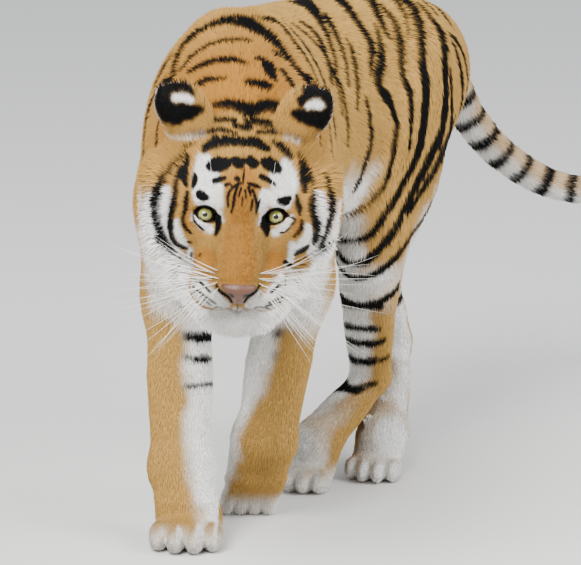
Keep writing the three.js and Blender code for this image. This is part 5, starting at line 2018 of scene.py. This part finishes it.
@dataclass
class Coat:
    """Closed tufts standing on the skin, coloured by the markings of the places they cover, with painted
    shade towards their roots.
    """

    body: Body
    place: Placing
    markings: Markings
    lie: Lie
    skin: Surface
    seed: int = 7
    patch: float = 0.003  # width of a tuft's place on the unwrapped skin
    long_hair: float = 31.0  # tufts longer than this bend in three lengths

    def regions(self, points: Array) -> Array:
        """Number of the region of each place.

        Args:
            points: n by 3 body places, millimetres.

        Returns:
            n numbers.
        """
        q = self.body.head.to_head(points)
        spine = self.markings.spine
        along, _, _ = spine.place(points)
        label = np.full(len(points), Region.NECK.value[0])
        label[along > 190] = Region.SHOULDERS.value[0]
        label[along > 480] = Region.BARREL.value[0]
        label[along > 800] = Region.RUMP.value[0]
        low = points[:, 2] < 560
        front = points[:, 1] < 600
        divide = between_forelegs(points)
        label[low & front & (points[:, 0] < divide)] = Region.RIGHT_FORE.value[0]
        label[low & front & (points[:, 0] >= divide)] = Region.LEFT_FORE.value[0]
        left, right = self.body.hind_distances(points)
        label[low & ~front & (left <= right)] = Region.LEFT_HIND.value[0]
        label[low & ~front & (left > right)] = Region.RIGHT_HIND.value[0]
        head = (q[:, 1] < 150) & (q[:, 2] > -240)
        label[head] = Region.RUFF.value[0]
        face = head & (q[:, 1] < 40) & (np.abs(q[:, 0]) < 125)
        label[face] = Region.FACE.value[0]
        label[face & (q[:, 2] < -110)] = Region.MUZZLE.value[0]
        tail = (points[:, 1] > 1130) & (self.body.tail.distance(points, 30) < 12)
        label[tail] = Region.TAIL.value[0]
        return label

    def roots(self) -> tuple[Array, Array, Array]:
        """Seeded places over the skin, so many to each area.

        Returns:
            Places, outward directions and region numbers.
        """
        rng = np.random.default_rng(self.seed)
        points, faces = self.skin.points, self.skin.faces
        normals = self.skin.normals()
        a, b, c = (points[faces[:, n]] for n in range(3))
        area = np.linalg.norm(np.cross(b - a, c - a), axis=1) / 2
        label = self.regions((a + b + c) / 3)
        share = np.array([region.value[1] for region in Region])[label]
        count = np.floor(area / share + rng.random(len(area))).astype(int)
        face = np.repeat(np.arange(len(faces)), count)
        u, v = rng.random((2, len(face)))
        over = u + v > 1
        u[over], v[over] = 1 - u[over], 1 - v[over]
        w = np.stack([1 - u - v, u, v], axis=1)[:, :, None]
        place = np.sum(points[faces[face]] * w, axis=1)
        normal = unit(np.sum(normals[faces[face]] * w, axis=1))
        keep = self.covered(place)
        return place[keep], normal[keep], label[face][keep]

    def covered(self, points: Array) -> Array:
        """True where hair grows: not in the eyes' openings, on the nose leather or under the paws.

        Args:
            points: n by 3 body places, millimetres.

        Returns:
            n truth values.
        """
        q = self.body.head.to_head(points)
        u, v, ahead, gap = self.body.head.eye_frame(q)
        eye = (almond(u, v) < 2.2) & (ahead > 0) & (gap < 40)
        leather = joined(np.full(len(q), FAR), self.body.head.nose_pad, q) < 1.5
        return ~eye & ~leather & (points[:, 2] > 7)

    def unwrap(self, points: Array, region: Region) -> Array:
        """Place of each root on its region's own unwrap.

        Head: angle round the line from nape to nose, against length along it.  Trunk: angle round the
        middle line, against length along the back.  Legs and tail: angle round the limb, against
        length along it.  Each is fitted to 0..1.

        Args:
            points: n by 3 body places, millimetres.
            region: the region that they are in.

        Returns:
            n by 2 places.
        """
        if region in (Region.FACE, Region.MUZZLE, Region.RUFF):
            q = self.body.head.to_head(points)
            angle, length = np.arctan2(q[:, 0], q[:, 2] + 40), q[:, 1] - 0.3 * q[:, 2]
        elif region is Region.TAIL:
            length, way = self.body.tail.place(points)
            rows = self.body.tail.rows
            steps = np.linalg.norm(np.diff(rows[:, :3], axis=0), axis=1)
            s = np.concatenate([[0], np.cumsum(steps)])
            centre = np.stack([np.interp(length, s, rows[:, n]) for n in range(3)], axis=1)
            side = unit(np.cross(way, np.array(TAIL_SIDE)))
            r = points - centre
            angle = np.arctan2(np.sum(r * side, axis=1), r @ np.array(TAIL_SIDE))
        elif region in (Region.NECK, Region.SHOULDERS, Region.BARREL, Region.RUMP):
            length, out, _ = self.markings.spine.place(points)
            middle = np.interp(length, self.markings.spine.length, self.markings.spine.rows[:, 2])
            angle = np.arctan2(out, points[:, 2] - middle)
        else:
            order = (Region.RIGHT_FORE, Region.LEFT_FORE, Region.LEFT_HIND, Region.RIGHT_HIND)
            rows, _ = self.lie.limbs[order.index(region)]
            down = rows[::-1]
            centre = np.stack([np.interp(points[:, 2], down[:, 2], down[:, n]) for n in range(2)], axis=1)
            r = points[:, :2] - centre
            angle, length = np.arctan2(r[:, 0], r[:, 1]), points[:, 2]
        low, high = length.min(), length.max()
        share = (length - low) / (high - low)
        return np.stack([angle / (2 * math.pi) * 0.98 + 0.5, share * 0.98 + 0.01], axis=1)

    def build(self, finish: bpy.types.Material) -> list[bpy.types.Object]:
        """All the coat pieces, dressed in the finish.

        Args:
            finish: material of all of them.

        Returns:
            One object to each region.
        """
        place, normal, label = self.roots()
        rng = np.random.default_rng(self.seed + 1)
        way = self.lie.way(place, normal)
        length = self.lie.length(place, normal) * rng.uniform(0.75, 1.25, len(place))
        lift, width = self.stand(place, normal, length)
        swing = rng.normal(0, 0.13, len(place))[:, None]
        side = np.cross(normal, way)
        way = unit(way + swing * side)
        side = np.cross(normal, way)
        tone = rng.uniform(0.88, 1.12, len(place))
        q = self.body.head.to_head(place)
        bridge = step(70, 35, np.abs(q[:, 0])) * step(10, -40, q[:, 1]) * step(-115, -95, q[:, 2])
        tone *= 1 - bridge * (0.34 + 0.18 * noise(q, 5.0, 31))
        pieces = []
        for number, region in enumerate(Region):
            mine = label == number
            name = "coat_" + region.name.lower()
            uv = self.unwrap(place[mine], region)
            data = tuple(value[mine] for value in (place, normal, way, side, length, lift, width))
            pieces.append(self.piece(name, data, tone[mine], uv, finish))
        return pieces

    def stand(self, points: Array, normals: Array, length: Array) -> tuple[Array, Array]:
        """Lift of each tuft in radians and its width in millimetres.

        Args:
            points: n by 3 body places, millimetres.
            normals: outward direction at each place.
            length: length of each tuft, millimetres.

        Returns:
            n lifts and n widths.
        """
        q = self.body.head.to_head(points)
        across = np.abs(q[:, 0])
        on_head = step(180, 120, q[:, 1]) * step(-260, -210, q[:, 2])
        lift = 0.26 - 0.07 * step(600, 420, points[:, 2])
        lift += on_head * (0.22 - lift)
        ruff = on_head * step(110, 145, across) * step(-10, 70, q[:, 1])
        lift += ruff * 0.12
        beard = on_head * step(-125, -160, q[:, 2])
        lift += beard * (0.12 + 0.75 * step(0.1, 0.8, -normals[:, 2]))
        width = np.clip(0.5 + 0.09 * length, 1.05, 2.9)
        return lift, width

    def piece(
        self, name: str, data: tuple, tone: Array, uv: Array, finish: bpy.types.Material
    ) -> bpy.types.Object:
        """One joined mesh of tufts.

        Short tufts are four-sided: two roots, a ridge point over the middle and the tip.  Long ones have
        three rings of three points that lean over more and more, and a tip.

        Args:
            name: name of the piece.
            data: place, normal, way, side, length, lift and width of each tuft.
            tone: its own brightness.
            uv: its place on the unwrapped skin.
            finish: material.

        Returns:
            The piece.
        """
        is_long = data[4] > self.long_hair
        short = self.short_tufts(*[d[~is_long] for d in data])
        long = self.long_tufts(*[d[is_long] for d in data])
        offset = len(short[0])
        points = np.concatenate([short[0], long[0]])
        faces = np.concatenate([short[1], long[1] + offset])
        owner = np.concatenate([
            np.repeat(np.flatnonzero(~is_long), SHORT_CORNERS),
            np.repeat(np.flatnonzero(is_long), LONG_CORNERS),
        ])
        along = np.concatenate([short[2], long[2]])
        sway = np.concatenate([short[3], long[3]])
        points[:, 2] = np.maximum(points[:, 2], 0)
        obj = mesh_object(name, self.place.metres(points), faces)
        _, normal, way, side, _, lift, _ = data
        raised = np.maximum(lift - 0.35, 0)[:, None]
        lean = (np.cos(raised) * normal - np.sin(raised) * way)[owner]
        lean += (0.45 * sway)[:, None] * side[owner] - (0.35 - 0.3 * along)[:, None] * way[owner]
        obj.data.normals_split_custom_set_from_vertices(unit(lean).tolist())
        # painted shade: each tuft is darker at its root and lighter towards its tip; tone is the tuft's own
        # random brightness
        shade = (0.84 + 0.22 * along) * tone[owner]
        marks = np.concatenate([self.painted(short, (0, 0, 1, 2), normal[~is_long]),
                                self.painted(long, (0, 0, 0, 1, 1, 1, 2, 2, 2, 3), normal[is_long])])
        colour_attribute(obj, "marks", np.column_stack([marks, shade]))
        layer = obj.data.uv_layers.new(name="OFBake")
        spot = uv[owner] + self.patch * np.column_stack([sway / 2, along - 0.5])
        layer.data.foreach_set("uv", np.ascontiguousarray(spot[faces.ravel()], np.float32).ravel())
        obj.data.materials.append(finish)
        log.info("%s: %d tufts, %d triangles", name, len(uv), len(faces))
        return obj

    def painted(self, tufts: tuple, rings: Sequence[int], normal: Array) -> Array:
        """Markings of every corner of the tufts, worked out once to each ring of corners.

        Args:
            tufts: points and the rest, as the tufts are built.
            rings: number of the ring each corner of a tuft belongs to.
            normal: outward direction of the skin at each root.

        Returns:
            Black, white and deep orange of each point.
        """
        rings = np.array(rings)
        last = rings[-1]
        corners = tufts[0].reshape(len(normal), len(rings), 3)
        marks = np.zeros(corners.shape)
        middles = [corners[:, rings == ring].mean(axis=1) for ring in range(last + 1)]
        for ring in range(last + 1):
            share, other = (0.3, ring + 1) if ring < last else (0.4, ring - 1)
            place = middles[ring] + share * (middles[other] - middles[ring])
            marks[:, rings == ring] = self.markings.paint(place, normal, 0.8)[:, None]
        return marks.reshape(-1, 3)

    @staticmethod
    def short_tufts(
        root: Array, normal: Array, way: Array, side: Array, length: Array, lift: Array, width: Array
    ) -> tuple[Array, Array, Array, Array]:
        """Points, faces, share along and side of four-cornered tufts.

        Args:
            root: where each one stands.
            normal: outward direction there.
            way: direction of the hair.
            side: direction across the hair.
            length: length of each, millimetres.
            lift: lift of each, radians.
            width: width of each, millimetres.

        Returns:
            Points, triangles, share along and side.
        """
        half = side * width[:, None] / 2
        sink = normal * 0.8
        rise = np.sin(lift)[:, None] * length[:, None] * normal
        run = np.cos(lift)[:, None] * length[:, None] * way
        ridge = root + 0.34 * run + 0.5 * rise + normal * (0.28 * width)[:, None]
        corners = np.stack([root - half - sink, root + half - sink, ridge, root + run + rise], axis=1)
        first = 4 * np.arange(len(root))[:, None]
        faces = np.concatenate([first + np.array(f) for f in ((0, 3, 2), (2, 3, 1), (1, 0, 2), (0, 1, 3))])
        along = np.tile([0.0, 0.0, 0.4, 1.0], len(root))
        sway = np.tile([-1.0, 1.0, 0.0, 0.0], len(root))
        return corners.reshape(-1, 3), faces, along, sway

    @staticmethod
    def long_tufts(
        root: Array, normal: Array, way: Array, side: Array, length: Array, lift: Array, width: Array
    ) -> tuple[Array, Array, Array, Array]:
        """Points, faces, share along and side of bent tufts: rings at 0, 0.4 and 0.75, then the tip.

        Args:
            root: where each one stands.
            normal: outward direction there.
            way: direction of the hair.
            side: direction across the hair.
            length: length of each, millimetres.
            lift: lift of each, radians.
            width: width of each, millimetres.

        Returns:
            Points, triangles, share along and side.
        """
        rings = []
        for t, size in ((0.0, 1.0), (0.4, 0.85), (0.75, 0.5)):
            angle = lift * (1.5 - 0.7 * t)
            out = (length * t)[:, None] * (np.cos(angle)[:, None] * way + np.sin(angle)[:, None] * normal)
            centre = root + out - normal * (0.8 if t == 0 else 0)
            half = side * (width * size)[:, None] / 2
            up = normal * (width * size)[:, None] * 0.3
            rings += [centre - half, centre + half, centre + up]
        angle = lift * 0.8
        tip = root + length[:, None] * (np.cos(angle)[:, None] * way + np.sin(angle)[:, None] * normal)
        corners = np.stack([*rings, tip], axis=1)
        table = [(0, 2, 1)]
        for low in (0, 3):
            for a, b in ((2, 0), (1, 2), (0, 1)):
                table += [(low + a, low + b, low + 3 + b), (low + a, low + 3 + b, low + 3 + a)]
        table += [(8, 6, 9), (7, 8, 9), (6, 7, 9)]
        first = 10 * np.arange(len(root))[:, None]
        faces = np.concatenate([first + np.array(f) for f in table]) if len(root) else np.zeros((0, 3), int)
        along = np.tile([0, 0, 0, 0.4, 0.4, 0.4, 0.75, 0.75, 0.75, 1.0], len(root))
        sway = np.tile([-1, 1, 0, -0.85, 0.85, 0, -0.5, 0.5, 0, 0], len(root))
        return corners.reshape(-1, 3), faces, along, sway


@dataclass
class Eye:
    """An eyeball with a bulging cornea, looking the way the face looks."""

    head: Head
    place: Placing
    side: int
    bulge: float = 1.2
    outward: float = 0.05
    rings: int = 40
    sectors: int = 56

    def build(self) -> bpy.types.Object:
        """Surface of angle f from the gaze and turn g: radius R + bulge * exp(-(f/0.5)^2).

        Returns:
            The eyeball.
        """
        name = "left_eyeball" if self.side > 0 else "right_eyeball"
        f = np.linspace(0, math.pi, self.rings + 1)[1:-1]
        g = np.arange(self.sectors) / self.sectors * 2 * math.pi
        ff, gg = np.meshgrid(f, g, indexing="ij")
        gaze = unit(self.head.facing + np.array([self.side * self.outward, 0, 0]))
        up = unit(self.head.face_up - gaze * (gaze @ self.head.face_up))
        across = np.cross(up, gaze)
        angle = np.concatenate([[0], ff.ravel(), [math.pi]])
        turn = np.concatenate([[0], gg.ravel(), [0]])
        radius = EYE_RADIUS - 0.2 + self.bulge * np.exp(-(angle / 0.5) ** 2)
        ring = np.sin(angle)[:, None] * (np.cos(turn)[:, None] * across + np.sin(turn)[:, None] * up)
        points = self.head.eye_centre(self.side) + radius[:, None] * (ring + np.cos(angle)[:, None] * gaze)
        faces = self.cap_and_walls()
        obj = mesh_object(name, self.place.metres(self.head.to_body(points)), faces)
        attribute = obj.data.attributes.new("gaze", "FLOAT", "POINT")
        attribute.data.foreach_set("value", angle.astype(np.float32))
        obj.data.materials.append(EyeFinish().make("wet eye"))
        log.info("%s: %d triangles", name, len(faces))
        return obj

    def cap_and_walls(self) -> Array:
        """Triangles of the grid of rings with a point at either pole.

        Returns:
            Triangles as three point numbers.
        """
        m = self.sectors
        j = np.arange(m)
        k = (j + 1) % m
        parts = [np.stack([0 * j, 1 + j, 1 + k], axis=1)]
        for ring in range(self.rings - 2):
            a = 1 + ring * m
            parts.append(np.stack([a + j, a + m + j, a + m + k], axis=1))
            parts.append(np.stack([a + j, a + m + k, a + k], axis=1))
        last = 1 + (self.rings - 2) * m
        parts.append(np.stack([last + j, 0 * j + last + m, last + k], axis=1))
        return np.concatenate(parts)


@dataclass
class NoseLeather:
    """The bare tip of the nose with its two nostrils."""

    body: Body
    place: Placing
    markings: Markings
    grid: float = 2.2

    def level(self, points: Array) -> Array:
        """Distance from the leather, the nostrils cut in.

        Args:
            points: n by 3 body places, millimetres.

        Returns:
            n distances.
        """
        q = self.body.head.to_head(points)
        d = joined(np.full(len(q), FAR), self.body.head.nose_pad, q) + 0.8
        across = np.abs(q[:, 0])
        hollow = Mass((15, -MUZZLE - 13, -58), (7.5, 10, 4.0), 2, (20, 0, -24)).distance(
            np.stack([across, q[:, 1], q[:, 2]], axis=1), 60)
        d = smooth_max(d, -hollow, 2)
        return d + 1.6 * np.exp(-(across / 1.6) ** 2) * step(-54, -62, q[:, 2])

    def build(self) -> bpy.types.Object:
        """The leather from a fine grid.

        Returns:
            The leather.
        """
        middle = self.body.head.to_body(np.array([[0, -MUZZLE, -50.0]]))[0]
        axes = [np.arange(c - 46, c + 46, self.grid) for c in middle]
        surface = Surface(self.level, axes)
        surface.project(2, 2.0)
        q = self.body.head.to_head(surface.points)
        dark = self.markings.face_black.cover(q, 2.5)
        across = np.abs(q[:, 0])
        # painted shade: the nostril hollows are darkened near-black, over the leather's black edge markings
        hole = np.hypot(across - 15, (q[:, 2] + 58) * 1.4)
        dark = np.maximum(dark, step(11, 6, hole) * (q[:, 1] < -MUZZLE))
        obj = mesh_object("nose_leather", self.place.metres(surface.points), surface.faces)
        colour_attribute(obj, "marks", np.column_stack([dark, 0 * dark, 0 * dark, 0 * dark + 1]))
        obj.data.materials.append(LeatherFinish().make("nose leather"))
        log.info("nose_leather: %d triangles", len(surface.faces))
        return obj


@dataclass
class Whiskers:
    """Whiskers of both cheeks and over the eyes: long tapering hairs that droop a little."""

    body: Body
    place: Placing
    per_side: int = 32
    radius: float = 0.85
    seed: int = 5
    steps: int = 12
    proud: float = 0.034  # the furthest that a tip passes the solids' box, metres

    def within(self, path: Array) -> Array:
        """The hairs with each one that leads too far out shortened: foot + share * (path - foot).

        Args:
            path: hairs by rings by 3 head places.

        Returns:
            Paths of the same shape.
        """
        foot, tip = (self.place.metres(self.body.head.to_body(path[:, n]))[:, 0] for n in (0, -1))
        edge = CAD_BOX[0][0] - self.proud
        share = np.where(tip < edge, (foot - edge) / np.maximum(foot - tip, 1e-6), 1.0)
        return path[:, :1] + share[:, None, None] * (path - path[:, :1])

    def build(self) -> bpy.types.Object:
        """Tubes of three sides along root + L * (t * way + t^2 * droop), thinning to a point.

        Returns:
            The whiskers.
        """
        rng = np.random.default_rng(self.seed)
        head = self.body.head
        start, way, droop, length = [], [], [], []
        for side in (-1, 1):
            for n in range(self.per_side):
                row, col = n % 4, n // 4
                across = 36 + 5.0 * col + rng.uniform(-1.5, 1.5)
                up = -106 - 10 * row - 1.2 * col + rng.uniform(-2.5, 2.5)
                fan = math.radians(12 - 19 * row - 2.0 * col + rng.uniform(-11, 11))
                start.append((side * across, up))
                out = math.cos(fan) * np.array([side, 0, 0]) + math.sin(fan) * head.face_up
                way.append(unit(out + 0.1 * head.facing + np.array([0, 0.25, 0])))
                droop.append(np.array([0, 0.3, -0.17]) + 0.06 * rng.normal(size=3))
                length.append(rng.uniform(105, 200) * (0.85 + 0.04 * col))
            for n in range(3):
                start.append((side * (52 + 6 * n), 40 + 3 * n))
                outward = np.array([side * (0.1 + 0.3 * n), 0, 0])
                way.append(unit(outward + 0.8 * head.face_up + 0.6 * head.facing))
                droop.append(np.array([0, 0.2, 0.0]))
                length.append(rng.uniform(45, 60))
        root = laid(*np.array(start).T, self.body)
        way, droop, length = np.array(way), np.array(droop), np.array(length)
        t = np.linspace(0, 1, self.steps + 1)[None, :, None]
        curve = t * way[:, None] + t * t * droop[:, None]
        path = root[:, None] - 4 * head.facing + length[:, None, None] * curve
        path = self.within(path)
        thin = self.radius * (1 - 0.86 * t)
        side = unit(np.cross(way, head.facing))
        up = unit(np.cross(way, side))
        corner = []
        for n in range(3):
            a = 2 * math.pi * n / 3
            corner.append(path + thin * (math.cos(a) * side[:, None] + math.sin(a) * up[:, None]))
        grid = np.stack(corner, axis=2)
        count, rows = grid.shape[:2]
        points = grid.reshape(-1, 3)
        base = (np.arange(count) * rows * 3)[:, None, None]
        ring = (np.arange(rows - 1) * 3)[None, :, None]
        faces = []
        for n in range(3):
            a, b = base + ring + n, base + ring + (n + 1) % 3
            faces += [np.concatenate([a, b, b + 3], axis=2), np.concatenate([a, b + 3, a + 3], axis=2)]
        faces = np.concatenate([f.reshape(-1, 3) for f in faces])
        foot = base[:, 0]
        ends = np.concatenate([foot + np.array([0, 2, 1]), foot + 3 * (rows - 1) + np.array([0, 1, 2])])
        faces = np.concatenate([faces, ends])
        obj = mesh_object("whiskers", self.place.metres(self.body.head.to_body(points)), faces)
        obj.data.materials.append(WhiskerFinish().make("whisker"))
        log.info("whiskers: %d triangles", len(faces))
        return obj


@dataclass
class Stage:
    """Plain floor, soft light and the camera."""

    place: Placing
    target: tuple[float, float, float] = (100.0, 300.0, 500.0)
    distance: float = 9.0
    elevation: float = 12.5
    focal: float = 4770 / 581  # focal length over the picture's width
    sensor: float = 36.0

    def build(self) -> bpy.types.Object:
        """The floor, with lights and camera made on the way.

        Returns:
            The floor.
        """
        points = np.array([(-40, -30, 0), (40, -30, 0), (40, 60, 0), (-40, 60, 0)], float)
        floor = mesh_object("floor", points, np.array([(0, 1, 2), (0, 2, 3)]), False)
        floor.data.materials.append(FloorFinish().make("floor paint"))
        self.camera()
        self.lamp("key", (-2.2, -4.5, 5.2), 4.0, 900.0)
        self.lamp("fill", (4.0, -2.5, 3.5), 4.0, 320.0)
        world = bpy.data.worlds.new("sky")
        bpy.context.scene.world = world
        world.use_nodes = True
        sky = world.node_tree.nodes["Background"]
        sky.inputs[0].default_value = (0.92, 0.96, 1.0, 1)
        sky.inputs[1].default_value = 0.9
        return floor

    def camera(self) -> None:
        """Camera level with the horizon, looking down at the target."""
        target = self.place.metres(np.array([self.target]))[0]
        tilt = math.radians(self.elevation)
        spot = target + self.distance * np.array([0, -math.cos(tilt), math.sin(tilt)])
        lens = bpy.data.cameras.new("camera")
        lens.sensor_width = self.sensor
        lens.lens = self.focal * self.sensor
        camera = bpy.data.objects.new("camera", lens)
        camera.location = spot
        camera.rotation_euler = (Vector(target) - Vector(spot)).to_track_quat("-Z", "Y").to_euler()
        bpy.context.collection.objects.link(camera)
        bpy.context.scene.camera = camera

    @staticmethod
    def lamp(name: str, spot: tuple[float, float, float], size: float, power: float) -> None:
        """A round soft lamp that faces the animal.

        Args:
            name: name of the lamp.
            spot: its place, metres.
            size: its diameter, metres.
            power: its power, watts.
        """
        light = bpy.data.lights.new(name, "AREA")
        light.shape = "DISK"
        light.size = size
        light.energy = power
        lamp = bpy.data.objects.new(name, light)
        lamp.location = spot
        lamp.rotation_euler = (Vector((0, -0.1, 0.55)) - Vector(spot)).to_track_quat("-Z", "Y").to_euler()
        bpy.context.collection.objects.link(lamp)


def main() -> None:
    """Builds the animal piece by piece."""
    logging.basicConfig(level=logging.INFO, format="%(relativeCreated)6d ms %(message)s")
    body = Body()
    place = Placing(body.head)
    Stage(place).build()
    markings = Markings(body)
    log.info("markings laid")
    skin, surface = Skin(body, place, markings).build()
    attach(skin, "root")
    flesh = [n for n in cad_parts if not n.endswith("_eye") and n != "nose"]
    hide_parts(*flesh)
    for side, node in ((-1, "right_eye"), (1, "left_eye")):
        eye = Eye(body.head, place, side).build()
        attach(eye, "root")
        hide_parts(node)
    nose = NoseLeather(body, place, markings).build()
    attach(nose, "root")
    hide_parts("nose")
    whiskers = Whiskers(body, place).build()
    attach(whiskers, "root")
    coat = Coat(body, place, markings, Lie(body, markings.spine), surface)
    for piece in coat.build(CoatFinish().make("guard hair", 0.0)):
        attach(piece, "root")


if __name__ == "__main__":
    main()
